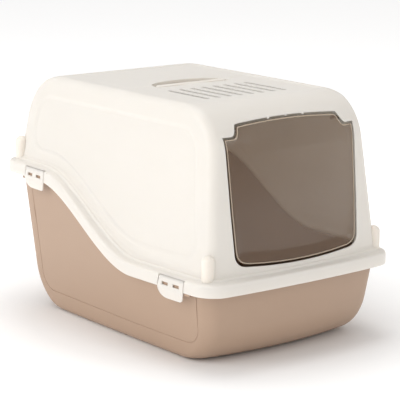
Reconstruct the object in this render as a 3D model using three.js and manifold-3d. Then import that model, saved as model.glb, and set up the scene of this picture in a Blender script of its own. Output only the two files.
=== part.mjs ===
// Hooded cat litter box: a deep litter tray with an S-shaped rim, a lift-off hood held by four
// hinged latches, a see-through swing door, a pull-up carry handle and a drop-down filter holder.
//
// Millimetres. +X is to the right seen from the door, the door faces -Y, +Z is up. The origin is
// on the floor under the centre of the plan.

import * as THREE from 'three';
import { mergeVertices } from 'three/addons/utils/BufferGeometryUtils.js';
import Module from 'manifold-3d';

const wasm = await Module();
wasm.setup();

// ---------------------------------------------------------------- driving dimensions

const HALF_LENGTH = 285;        // rim plan, from the corners of the front edge to the middle
const PLAN_SHIFT = 4;           // the bowed front edge moves the middle of the plan back
const HALF_WIDTH = 202;         // rim plan at mid length
const SIDE_BOW = 10;            // the long sides are slightly barrelled
const FRONT_BOW = 8;
const CORNER_RADIUS = 34;
const HEIGHT = 398.5;
const WALL = 2.5;

const RIM_LOW = 121;            // height of the skirt's lower edge along the front
const RIM_HIGH = 229.5;         // and along the back
const RAMP_START = -95;         // the S-curve between the two heights
const RAMP_END = 165;

const SKIRT_HEIGHT = 20;
const LEDGE_WIDTH = 19.5;       // from the skirt's face in to the hood's wall
const HOOD_SIDE_DRAFT = 29.5;   // how far the sides lean in from the ledge to the top
const HOOD_TOP_HALF = HALF_WIDTH - LEDGE_WIDTH - HOOD_SIDE_DRAFT;
const HOOD_TOP_BOW = 4;
const FRONT_LEAN = 0.105;
const REAR_LEAN = 0.098;
const HOOD_FRONT_RADIUS = 77;
const HOOD_REAR_RADIUS = 79;
const EDGE_RADIUS = 12;

const TRAY_WALL_INSET = 14.7;   // from the skirt's face in to the tray's side wall
const TRAY_SIDE_DRAFT = 23.3;
const TRAY_RIM_HALF = HALF_WIDTH - TRAY_WALL_INSET;
const TRAY_BASE_HALF = TRAY_RIM_HALF - TRAY_SIDE_DRAFT;
const TRAY_BASE_BOW = 4;
const TRAY_FRONT_TUCK = 37.4;     // from the skirt's face in to the foot of each end wall
const TRAY_REAR_TUCK = 57.3;
const TRAY_FRONT_BASE = HALF_LENGTH - PLAN_SHIFT - TRAY_FRONT_TUCK;
const TRAY_REAR_BASE = HALF_LENGTH + PLAN_SHIFT - TRAY_REAR_TUCK;
const TRAY_LEAN = 0.1;
const TRAY_FRONT_RADIUS = 71;
const TRAY_REAR_RADIUS = 80;
const TRAY_FRONT_BOW = 19;
const TRAY_CORNER_RADIUS = 23;

const SKIRT_GAP = 2.3;          // between the tray's lip and the skirt's inner face
const SEAT_GAP = 0.4;           // between the tray's rim and the hood's ledge
const LIP_DEPTH = 13;
const CATCH_GAP = 0.6;          // from the catch ribs to the skirt's inner face
const FLANGE_TOP = SKIRT_HEIGHT - WALL - 0.1 - SEAT_GAP;
const FLANGE_INSET = WALL + SKIRT_GAP;

const LATCH_STATIONS = [92 - HALF_LENGTH, HALF_LENGTH - 103];
const LATCH_WIDTH = 62;
const LATCH_DROP = 16;          // how far it hangs below the skirt
const LATCH_SLANT = 5;
const LATCH_THICKNESS = 2.3;
const SLIT = 1.5;
const LATCH_PIN_RADIUS = 1;
const PIN_CLEARANCE = 0.1;
const LATCH_BARREL_RADIUS = 2;
const LATCH_AXIS_HEIGHT = 16.3;
const LATCH_AXIS_DEPTH = 2.2;
const WINDOW = { width: 14.5, low: 4, high: 9, offset: 13 };

const DOOR = {
  bottom: RIM_LOW + SKIRT_HEIGHT + 10,
  sill: 5,                      // the sill's ends stand higher than its middle
  foot: 27,                     // size of the rounded lower corners
  waist: RIM_LOW + 119,
  ear: HEIGHT - 44,
  shoulder: HEIGHT - 27,
  crown: HEIGHT - 22.5,
};
const DOOR_HALF = { foot: 127, waist: 130, ear: 135, earInner: 117, shoulder: 101 };
const DOOR_GAP = 3.5;
const DOOR_RECESS = 1;
const DOOR_THICKNESS = 2.2;
const DOOR_AXIS_DEPTH = 4.9;   // the hinge line lies this far behind the hood's outer face
const DOOR_PIN_RADIUS = 1.8;
const DOOR_BARREL_RADIUS = 3.2;

const VENT = { count: 8, pitch: 22.7, width: 9, front: -137, rear: -34 };

const POCKET = { front: 0, half: 73.5, reach: 48, depth: 20 };
const GRIP = { half: POCKET.half - 3.5, front: 4, rear: 17, thickness: 9 };
const LEG = { inner: GRIP.half - 10, outer: GRIP.half - 1, front: 6, rear: 15 };
const HANDLE_LIFT = 16;
const RUN_GAP = 0.4;

const FILTER = { half: 96, front: -148, rear: -22, depth: 11, wall: 2, axisDrop: 6 };

const POST = {
  radius: 10.5, height: 34, x: HALF_WIDTH - 30, front: 31.5 - HALF_LENGTH, rear: HALF_LENGTH - 25.5,
};

// ---------------------------------------------------------------- materials

const plastic = (color, roughness) =>
  new THREE.MeshStandardMaterial({ color, roughness, metalness: 0 });
const CREAM = plastic(0xf3ede2, 0.4);
const TAUPE = plastic(0xbfa48a, 0.5);
const PIN_GREY = plastic(0xd8d0c2, 0.45);
const CARBON = plastic(0x24211f, 0.95);
const SMOKED = new THREE.MeshStandardMaterial({
  color: 0x8a7462, roughness: 0.15, metalness: 0, transparent: true, opacity: 0.55,
});

// ---------------------------------------------------------------- solids and booleans

/** A three.js geometry with closed faces becomes a solid that can be joined and cut. */
function solid(geometry) {
  const bare = geometry.clone();
  for (const name of Object.keys(bare.attributes)) {
    if (name !== 'position') bare.deleteAttribute(name);
  }
  const merged = mergeVertices(bare, 1e-4);
  return new wasm.Manifold(new wasm.Mesh({
    numProp: 3,
    vertProperties: new Float32Array(merged.attributes.position.array),
    triVerts: new Uint32Array(merged.index.array),
  }));
}

/** The finished solid becomes a named mesh. */
function mesh(name, body, material) {
  const result = body.getMesh();
  const geometry = new THREE.BufferGeometry();
  geometry.setAttribute('position', new THREE.BufferAttribute(result.vertProperties, 3));
  geometry.setIndex(new THREE.BufferAttribute(result.triVerts, 1));
  geometry.computeVertexNormals();
  const part = new THREE.Mesh(geometry, material);
  part.name = name;
  return part;
}

const join = (...solids) => solids.reduce((whole, next) => whole.add(next));
const cut = (body, ...tools) => tools.reduce((whole, tool) => whole.subtract(tool), body);

/** An axis-aligned box between two corners. */
function box([x0, y0, z0], [x1, y1, z1]) {
  const geometry = new THREE.BoxGeometry(x1 - x0, y1 - y0, z1 - z0);
  geometry.translate((x0 + x1) / 2, (y0 + y1) / 2, (z0 + z1) / 2);
  return solid(geometry);
}

/** A round bar along X. */
function rod(radius, x0, x1, y, z, sides = 12) {
  const geometry = new THREE.CylinderGeometry(radius, radius, x1 - x0, sides);
  geometry.rotateZ(Math.PI / 2);
  geometry.translate((x0 + x1) / 2, y, z);
  return solid(geometry);
}

/** A shape drawn in the XY plane, standing between two heights. */
function prism(shape, low, high, curveSegments = 8) {
  const geometry = new THREE.ExtrudeGeometry(shape, {
    depth: high - low, bevelEnabled: false, curveSegments,
  });
  geometry.translate(0, 0, low);
  return solid(geometry);
}

const lerp = THREE.MathUtils.lerp;

// ---------------------------------------------------------------- the rim's S-curve and plan

/** Height of the skirt's lower edge at a place along the length. */
function rimHeight(y) {
  return lerp(RIM_LOW, RIM_HIGH, THREE.MathUtils.smoothstep(y, RAMP_START, RAMP_END));
}

const bowed = (half, bow) => (y) => half - bow * (y / HALF_LENGTH) ** 2;
const rimHalf = bowed(HALF_WIDTH, SIDE_BOW);

/**
 * A closed plan outline with bowed sides and front, always with the same number of points.
 * halfAt gives the half width at y; front and rear are the y of the end walls.
 */
function planOutline({ halfAt, front, rear, radius, frontBow, sideSteps }) {
  const cornerSteps = 4;
  const endSteps = 8;
  const points = [];
  const corner = (sx, sy, start) => {
    const cy = sy < 0 ? front + radius : rear - radius;
    for (let k = 0; k <= cornerSteps; k += 1) {
      const angle = start + (k / cornerSteps) * (Math.PI / 2);
      const y = cy + radius * Math.sin(angle);
      points.push([sx * (halfAt(y) - radius) + radius * Math.cos(angle), y]);
    }
  };
  const side = (sx) => {
    for (let k = 1; k < sideSteps; k += 1) {
      const t = sx > 0 ? k / sideSteps : 1 - k / sideSteps;
      const y = lerp(front + radius, rear - radius, t);
      points.push([sx * halfAt(y), y]);
    }
  };
  corner(1, -1, -Math.PI / 2);
  side(1);
  corner(1, 1, 0);
  corner(-1, 1, Math.PI / 2);
  side(-1);
  corner(-1, -1, Math.PI);
  const flat = halfAt(front) - radius;
  for (let k = 1; k < endSteps; k += 1) {
    points.push([lerp(-flat, flat, k / endSteps), front]);
  }
  const full = halfAt(front);
  return points.map(([x, y]) => {
    const atFront = y < front + radius + 1e-6 ? 1 : 0;
    return [x, y - atFront * frontBow * Math.max(0, 1 - (x / full) ** 2)];
  });
}

/** A closed skin over a stack of outlines with equal point counts, each at its own height. */
function loft(levels) {
  const base = levels[0].outline.map(([x, y]) => new THREE.Vector2(x, y));
  const geometry = new THREE.ExtrudeGeometry(new THREE.Shape(base), {
    depth: levels.length - 1, steps: levels.length - 1, bevelEnabled: false,
  });
  const key = (x, y) => `${Math.fround(x)} ${Math.fround(y)}`;
  const indexOf = new Map(base.map((p, i) => [key(p.x, p.y), i]));
  const position = geometry.attributes.position;
  for (let i = 0; i < position.count; i += 1) {
    const point = indexOf.get(key(position.getX(i), position.getY(i)));
    const level = levels[Math.round(position.getZ(i))];
    const [x, y] = level.outline[point];
    position.setXYZ(i, x, y, level.z);
  }
  return geometry;
}

/** The rim plan, pulled in all round by an inset. */
function rimOutline(inset) {
  return planOutline({
    halfAt: (y) => rimHalf(y) - inset,
    front: -HALF_LENGTH + PLAN_SHIFT + inset,
    rear: HALF_LENGTH + PLAN_SHIFT - inset,
    radius: Math.max(CORNER_RADIUS - inset, 3),
    frontBow: FRONT_BOW,
    sideSteps: 26,
  });
}

/** Everything on one side of the S-curve: above it, or below it down under the floor. */
function rimCutter(offset, above) {
  const end = above ? 700 : -100;
  const shape = new THREE.Shape();
  shape.moveTo(-400, end);
  for (let y = -400; y < RAMP_START; y += 100) shape.lineTo(y, rimHeight(y) + offset);
  const steps = 22;
  for (let k = 0; k <= steps; k += 1) {
    const y = lerp(RAMP_START, RAMP_END, k / steps);
    shape.lineTo(y, rimHeight(y) + offset);
  }
  shape.lineTo(400, rimHeight(400) + offset);
  shape.lineTo(400, end);
  const geometry = new THREE.ExtrudeGeometry(shape, { depth: 600, bevelEnabled: false });
  geometry.translate(0, 0, -300);
  geometry.applyMatrix4(new THREE.Matrix4().makeBasis(
    new THREE.Vector3(0, 1, 0), new THREE.Vector3(0, 0, 1), new THREE.Vector3(1, 0, 0),
  ));
  return solid(geometry);
}

/**
 * A body that follows the S-curved rim: profile lists [height above the rim, inset]. Its ends are
 * run well past the profile and trimmed back, so that they follow the curve too.
 */
function rimBody(profile) {
  const spare = 200;
  const [low] = profile[0];
  const [high] = profile[profile.length - 1];
  const reach = { [low]: low - spare, [high]: high + spare };
  const levels = profile.map(([z, inset]) => ({ z: reach[z] ?? z, outline: rimOutline(inset) }));
  const geometry = loft(levels);
  const position = geometry.attributes.position;
  for (let i = 0; i < position.count; i += 1) {
    position.setZ(i, position.getZ(i) + rimHeight(position.getY(i)));
  }
  return cut(solid(geometry), rimCutter(low, false), rimCutter(high, true));
}

// ---------------------------------------------------------------- hood and tray walls

/**
 * How far out an end wall stands at a rise from its level face, which it meets in a radius.
 * atFace is where the wall's line would reach the level face.
 */
function turnedWall({ atFace, lean, radius }, rise, inset) {
  const tilt = Math.atan(lean);
  const r = radius - inset;
  if (rise >= radius - r * Math.sin(tilt)) {
    return atFace + lean * rise - inset / Math.cos(tilt);
  }
  const centre = atFace + lean * radius - radius / Math.cos(tilt);
  return centre + Math.sqrt(Math.max(r * r - (radius - rise) ** 2, 0));
}

/** How far a rounded long edge has drawn in at a rise from the level face. */
function roundIn(radius, rise) {
  if (rise >= radius) return 0;
  return radius - Math.sqrt(Math.max(radius ** 2 - (radius - rise) ** 2, 0));
}

/** The hood's end walls stand a ledge's width inside the skirt. */
function hoodEnd(skirt, rim, lean, radius) {
  const atFace = skirt - LEDGE_WIDTH - lean * (HEIGHT - rim - SKIRT_HEIGHT);
  return { atFace, lean, radius };
}

const HOOD_FRONT = hoodEnd(HALF_LENGTH - PLAN_SHIFT, RIM_LOW, FRONT_LEAN, HOOD_FRONT_RADIUS);
const HOOD_REAR = hoodEnd(HALF_LENGTH + PLAN_SHIFT, RIM_HIGH, REAR_LEAN, HOOD_REAR_RADIUS);
const TRAY_FRONT = { atFace: TRAY_FRONT_BASE, lean: TRAY_LEAN, radius: TRAY_FRONT_RADIUS };
const TRAY_REAR = { atFace: TRAY_REAR_BASE, lean: TRAY_LEAN, radius: TRAY_REAR_RADIUS };

const DOOR_AXIS_DROP = 37;      // the door's hinge line below the hood's top
const DOOR_AXIS = {
  y: DOOR_AXIS_DEPTH - turnedWall(HOOD_FRONT, DOOR_AXIS_DROP, 0),
  z: HEIGHT - DOOR_AXIS_DROP,
};

/** The hood's skin as a full body, pulled in by an inset. */
function hoodBody(inset) {
  const topHalf = bowed(HOOD_TOP_HALF, HOOD_TOP_BOW);
  const rises = [290, 220, 170, 120, 78, 60, 44, 32, 21, 13, 8.4, 4.8, 2.2, 0.7, 0];
  return solid(loft(rises.map((rise) => {
    const z = HEIGHT - inset - rise;
    const halfAt = (y) => {
      const rim = rimHeight(y) + SKIRT_HEIGHT;
      const share = (z - rim) / (HEIGHT - rim);
      const half = lerp(rimHalf(y) - LEDGE_WIDTH, topHalf(y), share);
      return half - inset - roundIn(EDGE_RADIUS - inset, rise);
    };
    return {
      z,
      outline: planOutline({
        halfAt,
        front: -turnedWall(HOOD_FRONT, HEIGHT - z, inset),
        rear: turnedWall(HOOD_REAR, HEIGHT - z, inset),
        radius: CORNER_RADIUS - LEDGE_WIDTH - inset / 2,
        frontBow: FRONT_BOW,
        sideSteps: 12,
      }),
    };
  })));
}

/** The tray's skin as a full body, pulled in by an inset, running on past the rim. */
function trayBody(inset) {
  const rimHalfAt = bowed(TRAY_RIM_HALF, SIDE_BOW);
  const baseHalfAt = bowed(TRAY_BASE_HALF, TRAY_BASE_BOW);
  const rises = [0, 0.7, 2.2, 4.8, 8.4, 13, 22, 34, 50, 70, 100, 140, 185, 225, 265];
  return solid(loft(rises.map((rise) => {
    const z = inset + rise;
    const halfAt = (y) => {
      const half = lerp(baseHalfAt(y), rimHalfAt(y), z / rimHeight(y));
      return half - inset - roundIn(EDGE_RADIUS - inset, rise);
    };
    return {
      z,
      outline: planOutline({
        halfAt,
        front: -turnedWall(TRAY_FRONT, z, inset),
        rear: turnedWall(TRAY_REAR, z, inset),
        radius: TRAY_CORNER_RADIUS - inset,
        frontBow: TRAY_FRONT_BOW,
        sideSteps: 12,
      }),
    };
  })));
}

// ---------------------------------------------------------------- latches and their stations

/**
 * The four latch stations. Each gives a placement for parts drawn with x along the rim, y up from
 * the skirt's lower edge and z out from the skirt's face, and which way along x is the rear.
 */
const STATIONS = [-1, 1].flatMap((side) => LATCH_STATIONS.map((y) => {
  const slope = (-2 * SIDE_BOW * y) / HALF_LENGTH ** 2;
  const along = new THREE.Vector3(slope, side, 0).normalize();
  const up = new THREE.Vector3(0, 0, 1);
  const out = new THREE.Vector3().crossVectors(along, up);
  const place = new THREE.Matrix4().makeBasis(along, up, out);
  place.setPosition(side * rimHalf(y), y, rimHeight(y));
  const name = `${y < 0 ? 'front' : 'rear'}_${side < 0 ? 'left' : 'right'}`;
  return { name, place, rear: side };
}));

/** A drawn outline standing between two depths out from the skirt's face. */
function stationPrism(station, shape, inner, outer) {
  const geometry = new THREE.ExtrudeGeometry(shape, {
    depth: outer - inner, bevelEnabled: false, curveSegments: 6,
  });
  geometry.translate(0, 0, inner);
  geometry.applyMatrix4(station.place);
  return solid(geometry);
}

/** A block between two depths, with x counted towards the rear of the box. */
function stationBlock(station, x0, x1, y0, y1, inner, outer) {
  const shape = new THREE.Shape();
  const xs = [x0 * station.rear, x1 * station.rear].sort((a, b) => a - b);
  shape.moveTo(xs[0], y0);
  shape.lineTo(xs[1], y0);
  shape.lineTo(xs[1], y1);
  shape.lineTo(xs[0], y1);
  shape.closePath();
  return stationPrism(station, shape, inner, outer);
}

/** A round bar along the latch's hinge line. */
function stationRod(station, radius, x0, x1) {
  const geometry = new THREE.CylinderGeometry(radius, radius, x1 - x0, 12);
  geometry.rotateZ(Math.PI / 2);
  geometry.translate(station.rear * (x0 + x1) / 2, LATCH_AXIS_HEIGHT, -LATCH_AXIS_DEPTH);
  geometry.applyMatrix4(station.place);
  return solid(geometry);
}

/** The latch's outline: slanted sides, a tight front corner and a long rounded rear corner. */
function latchOutline(station, grow, low) {
  const half = LATCH_WIDTH / 2 + grow;
  const s = station.rear;
  const top = LATCH_AXIS_HEIGHT + grow * 1.8;
  const shape = new THREE.Shape();
  shape.moveTo(-s * half, top);
  shape.lineTo(s * (half - LATCH_SLANT), top);
  if (low !== undefined) {
    shape.lineTo(s * half, low);
    shape.lineTo(-s * (half - LATCH_SLANT / 2), low);
  } else {
    shape.lineTo(s * half, -1);
    shape.quadraticCurveTo(s * half * 0.82, -LATCH_DROP, s * 4, -LATCH_DROP);
    shape.lineTo(-s * (half - LATCH_SLANT - 4), -LATCH_DROP);
    shape.quadraticCurveTo(-s * (half - 4), -LATCH_DROP, -s * (half - 3.5), -LATCH_DROP + 5);
  }
  shape.closePath();
  return shape;
}

const BARREL_FRONT = -LATCH_WIDTH / 2 + 1;
const BARREL_REAR = LATCH_WIDTH / 2 - LATCH_SLANT - 1;
const PIN_REACH = 7;            // how far each end of a latch pin runs into its boss
const BOSS_GAP = 2;

function latch(station) {
  const bore = LATCH_PIN_RADIUS + PIN_CLEARANCE;
  const windows = [-1, 1].map((way) => {
    const middle = way * WINDOW.offset;
    const half = WINDOW.width / 2;
    return stationBlock(station, middle - half, middle + half, WINDOW.low, WINDOW.high, -4, 1);
  });
  const plate = stationPrism(station, latchOutline(station, 0), -LATCH_THICKNESS, 0);
  const barrel = stationRod(station, LATCH_BARREL_RADIUS, BARREL_FRONT, BARREL_REAR);
  return cut(join(plate, barrel), ...windows, stationRod(station, bore, -50, 50));
}

function latchPin(station) {
  const x0 = BARREL_FRONT - BOSS_GAP - PIN_REACH;
  return stationRod(station, LATCH_PIN_RADIUS, x0, BARREL_REAR + BOSS_GAP + PIN_REACH);
}

/** The opening in the skirt that a latch sits in. */
function latchOpening(station) {
  const slot = stationPrism(station, latchOutline(station, SLIT, -6), -5.5, 4);
  return slot;
}

/** Two bosses behind the skirt that hold the ends of a latch's pin. */
function latchBosses(station) {
  const low = LATCH_AXIS_HEIGHT - 2.4;
  const depth = -LATCH_AXIS_DEPTH - LATCH_BARREL_RADIUS;
  const rear = BARREL_REAR + BOSS_GAP;
  const front = BARREL_FRONT - BOSS_GAP;
  return join(
    stationBlock(station, rear, rear + PIN_REACH + 1.5, low, SKIRT_HEIGHT - 1, depth, -1),
    stationBlock(station, front - PIN_REACH - 1.5, front, low, SKIRT_HEIGHT - 1, depth, -1),
  );
}

/** The tray's catch under one latch: a rib on the lip that the latch's windows close over. */
function latchCatch(station) {
  const reach = LATCH_WIDTH / 2 + 11;
  return stationBlock(station, -reach, reach, -4.5, 12, -FLANGE_INSET - 2, -WALL - CATCH_GAP);
}

// ---------------------------------------------------------------- tray

function tray() {
  const wall = cut(trayBody(0), rimCutter(FLANGE_TOP - 1, true));
  const lipLow = FLANGE_TOP - LIP_DEPTH;
  const rim = cut(
    rimBody([[lipLow, FLANGE_INSET], [FLANGE_TOP, FLANGE_INSET]]),
    rimBody([[lipLow - 1, FLANGE_INSET + WALL], [FLANGE_TOP - WALL, FLANGE_INSET + WALL]]),
  );
  return cut(join(wall, rim, ...STATIONS.map(latchCatch)), trayBody(WALL));
}

// ---------------------------------------------------------------- hood

/** The skirt round the rim and the stepped ledge that rises to the hood's wall, as a full body. */
function hoodRimOutside() {
  return rimBody([
    [0, 0], [SKIRT_HEIGHT - 4, 0], [SKIRT_HEIGHT - 1, 1], [SKIRT_HEIGHT + 0.3, 4],
    [SKIRT_HEIGHT + 1.3, LEDGE_WIDTH - 7], [SKIRT_HEIGHT + 4.6, LEDGE_WIDTH - 5.3],
    [SKIRT_HEIGHT + 5.6, LEDGE_WIDTH - 1.1], [SKIRT_HEIGHT + 7, LEDGE_WIDTH],
  ]);
}

/** The space inside the skirt and under the ledge, open to the hood above. */
function hoodRimInside() {
  const foot = LEDGE_WIDTH + WALL - 0.1;
  return rimBody([
    [-1, WALL], [SKIRT_HEIGHT - WALL - 0.1, WALL],
    [SKIRT_HEIGHT - WALL + 0.8, LEDGE_WIDTH - 8],
    [SKIRT_HEIGHT - WALL + 4.5, LEDGE_WIDTH + WALL - 5.5],
    [SKIRT_HEIGHT - WALL + 5.1, foot], [SKIRT_HEIGHT + 8, foot],
  ]);
}

/** Half-round posts that stiffen the four upright corners. */
function cornerPosts() {
  return [-1, 1].flatMap((side) => [POST.front, POST.rear].map((y) => {
    const foot = rimHeight(y) + SKIRT_HEIGHT;
    const profile = [
      [0, 0], [POST.radius, 0], [POST.radius, POST.height], [POST.radius - 4, POST.height + 6],
      [0, POST.height + 8],
    ].map(([r, z]) => new THREE.Vector2(r, z));
    const geometry = new THREE.LatheGeometry(profile, 20);
    geometry.rotateX(Math.PI / 2);
    geometry.translate(side * POST.x, y, foot);
    return solid(geometry);
  }));
}

/** Half of the door opening's outline, from the sill's middle up to the crown's middle. */
function doorHalf(inset) {
  const half = (value) => value - inset;
  return [
    ['line', half(DOOR_HALF.foot) - DOOR.foot, DOOR.bottom + DOOR.sill + inset],
    ['curve', half(DOOR_HALF.foot), DOOR.bottom + DOOR.sill + inset + 1,
      half(DOOR_HALF.foot), DOOR.bottom + DOOR.foot + inset],
    ['line', half(DOOR_HALF.waist), DOOR.waist],
    ['line', half(DOOR_HALF.ear), DOOR.ear - inset],
    ['line', half(DOOR_HALF.earInner), DOOR.ear - inset],
    ['curve', half(DOOR_HALF.earInner) - 6, DOOR.ear - inset,
      half(DOOR_HALF.shoulder) + 5, DOOR.shoulder - inset - 4],
    ['curve', half(DOOR_HALF.shoulder) + 3, DOOR.shoulder - inset,
      half(DOOR_HALF.shoulder), DOOR.shoulder - inset],
  ];
}

/** A straight prism through the front wall with the door opening's outline, pulled in. */
function doorPrism(inset) {
  const shape = new THREE.Shape();
  const sill = DOOR.bottom + inset;
  const crown = DOOR.crown - inset;
  const segments = doorHalf(inset);
  shape.moveTo(0, sill);
  const right = segments[0];
  shape.quadraticCurveTo(right[1] / 2, sill, right[1], right[2]);
  for (const [kind, ...v] of segments.slice(1)) {
    if (kind === 'line') shape.lineTo(...v);
    else shape.quadraticCurveTo(...v);
  }
  const shoulder = segments[segments.length - 1];
  shape.quadraticCurveTo(shoulder[3] / 2, crown, 0, crown);
  const points = shape.getPoints(5);
  const mirrored = points.slice(1, -1).reverse().map((p) => new THREE.Vector2(-p.x, p.y));
  const whole = new THREE.Shape([...points, ...mirrored]);
  const geometry = new THREE.ExtrudeGeometry(whole, { depth: 120, bevelEnabled: false });
  geometry.rotateX(Math.PI / 2);
  geometry.translate(0, -190, 0);
  return solid(geometry);
}

/** Bosses behind the door opening's upper corners, clipped to stay inside the hood's skin. */
function doorBosses() {
  const { y, z } = DOOR_AXIS;
  const inner = DOOR_HALF.earInner + 0.8;
  const blocks = [-1, 1].map((side) => {
    const xs = [side * inner, side * (inner + 9)].sort((a, b) => a - b);
    return box([xs[0], y - 12, z - 8], [xs[1], y + 6, z + 7]);
  });
  return join(...blocks).intersect(hoodBody(0.6));
}

function ventSlots() {
  return Array.from({ length: VENT.count }, (_, k) => {
    const x = (k - (VENT.count - 1) / 2) * VENT.pitch;
    const r = VENT.width / 2;
    const shape = new THREE.Shape();
    shape.absarc(x, VENT.front + r, r, Math.PI, 2 * Math.PI);
    shape.absarc(x, VENT.rear - r, r, 0, Math.PI);
    shape.closePath();
    return prism(shape, HEIGHT - 12, HEIGHT + 5, 3);
  });
}

/** The half-round finger pocket, grown outwards by a wall. */
function pocketShape(grow) {
  const shape = new THREE.Shape();
  const half = POCKET.half + grow;
  shape.moveTo(-half, POCKET.front - grow);
  shape.lineTo(half, POCKET.front - grow);
  shape.absellipse(0, POCKET.front + 14, half, POCKET.reach - 14 + grow, 0, Math.PI);
  shape.closePath();
  return shape;
}

function pocketTub() {
  return prism(pocketShape(WALL), HEIGHT - POCKET.depth - WALL, HEIGHT - 1, 12);
}

function pocketHollow() {
  const floor = HEIGHT - POCKET.depth;
  const guides = [-1, 1].map((side) => {
    const xs = [side * (LEG.inner - RUN_GAP), side * (LEG.outer + RUN_GAP)].sort((a, b) => a - b);
    return box([xs[0], LEG.front - RUN_GAP, floor - 5], [xs[1], LEG.rear + RUN_GAP, floor + 1]);
  });
  return join(prism(pocketShape(0), floor, HEIGHT + 5, 12), ...guides);
}

/** Two ribs on the pocket's floor that the folded-down grip rests on. */
function gripRests() {
  const floor = HEIGHT - POCKET.depth;
  const top = HEIGHT - 1 - GRIP.thickness - RUN_GAP;
  return [-45, 42].map((x) => box([x, GRIP.front + 3, floor - 0.5], [x + 3, GRIP.rear - 3, top]));
}

/** Hinge lugs and a snap hook for the filter holder, under the hood's top. */
function filterMounts() {
  const z = HEIGHT - WALL;
  const lugs = [-1, 1].map((side) => {
    const xs = [side * (FILTER.half + RUN_GAP), side * (FILTER.half + 5)].sort((a, b) => a - b);
    return box([xs[0], FILTER.front - 4, z - 14], [xs[1], FILTER.front + 8, z + 1]);
  });
  return lugs;
}

function hood() {
  const { y, z } = DOOR_AXIS;
  const skin = cut(hoodBody(0), rimCutter(SKIRT_HEIGHT + 3, false));
  const inside = cut(hoodBody(WALL), rimCutter(SKIRT_HEIGHT + 2.3, false));
  const shell = cut(join(hoodRimOutside(), skin, ...cornerPosts()), inside, hoodRimInside());
  const fitted = join(
    shell, doorBosses(), pocketTub(), ...filterMounts(), ...STATIONS.map(latchBosses),
  );
  const pinHole = DOOR_PIN_RADIUS + PIN_CLEARANCE;
  const latchBore = LATCH_PIN_RADIUS + PIN_CLEARANCE;
  const filterAxis = HEIGHT - WALL - FILTER.axisDrop;
  const opened = cut(
    fitted, doorPrism(0), pocketHollow(), ...ventSlots(),
    ...STATIONS.map(latchOpening),
    ...STATIONS.map((station) => stationRod(station, latchBore, -48, 48)),
    rod(pinHole, -140, 140, y, z),
    rod(2 + PIN_CLEARANCE, -FILTER.half - 8, FILTER.half + 8, FILTER.front + 2, filterAxis),
  );
  return join(opened, ...gripRests());
}

// ---------------------------------------------------------------- door

function doorFlap() {
  const { y, z } = DOOR_AXIS;
  const skin = cut(hoodBody(DOOR_RECESS), hoodBody(DOOR_RECESS + DOOR_THICKNESS));
  const panel = skin.intersect(doorPrism(DOOR_GAP));
  const barrelEnd = DOOR_HALF.earInner + 0.8 - RUN_GAP;
  const knuckles = [-1, 1].flatMap((side) => {
    const xs = [side * (barrelEnd - 20), side * barrelEnd].sort((a, b) => a - b);
    const web = [side * (barrelEnd - 19), side * (barrelEnd - 12)].sort((a, b) => a - b);
    return [
      rod(DOOR_BARREL_RADIUS, xs[0], xs[1], y, z),
      box([web[0], y - 9, z - 2.5], [web[1], y, z + 1.5]),
    ];
  });
  const bore = rod(DOOR_PIN_RADIUS + PIN_CLEARANCE, -130, 130, y, z);
  return cut(join(panel, ...knuckles), bore, doorClearance());
}

/** Keeps the door's knuckles behind its own outer face. */
function doorClearance() {
  const front = cut(hoodBody(-20), hoodBody(DOOR_RECESS));
  return front.intersect(box([-140, -300, 340], [140, -190, 390]));
}

function doorPin(side) {
  const { y, z } = DOOR_AXIS;
  const inner = DOOR_HALF.earInner - 16;
  const outer = DOOR_HALF.earInner + 0.8 + 9 + RUN_GAP;
  const shaft = [side * inner, side * (outer + 0.5)].sort((a, b) => a - b);
  const head = [side * outer, side * (outer + 2)].sort((a, b) => a - b);
  return join(
    rod(DOOR_PIN_RADIUS, shaft[0], shaft[1], y, z),
    rod(DOOR_PIN_RADIUS + 0.8, head[0], head[1], y, z),
  );
}

// ---------------------------------------------------------------- handle

/** A flat grip on two legs that slide in the pocket's floor and end in retaining feet. */
function handle() {
  const top = HEIGHT - 1;
  const bottom = top - GRIP.thickness;
  const footTop = HEIGHT - POCKET.depth - WALL - HANDLE_LIFT - 0.5;
  const r = (GRIP.rear - GRIP.front) / 2;
  const shape = new THREE.Shape();
  shape.absarc(GRIP.half - r, GRIP.front + r, r, -Math.PI / 2, Math.PI / 2);
  shape.absarc(-GRIP.half + r, GRIP.front + r, r, Math.PI / 2, 1.5 * Math.PI);
  shape.closePath();
  const geometry = new THREE.ExtrudeGeometry(shape, {
    depth: GRIP.thickness - 3, bevelEnabled: true, bevelSize: 1.5, bevelThickness: 1.5,
    bevelOffset: -1.5, bevelSegments: 2, curveSegments: 6,
  });
  geometry.translate(0, 0, bottom + 1.5);
  const legs = [-1, 1].flatMap((side) => {
    const leg = [side * LEG.inner, side * LEG.outer].sort((a, b) => a - b);
    const foot = [side * (LEG.inner - 3), side * (LEG.outer + 3)].sort((a, b) => a - b);
    return [
      box([leg[0], LEG.front, footTop - 2], [leg[1], LEG.rear, bottom + 2]),
      box([foot[0], LEG.front, footTop - 3], [foot[1], LEG.rear, footTop]),
    ];
  });
  return join(solid(geometry), ...legs);
}

// ---------------------------------------------------------------- filter

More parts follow.
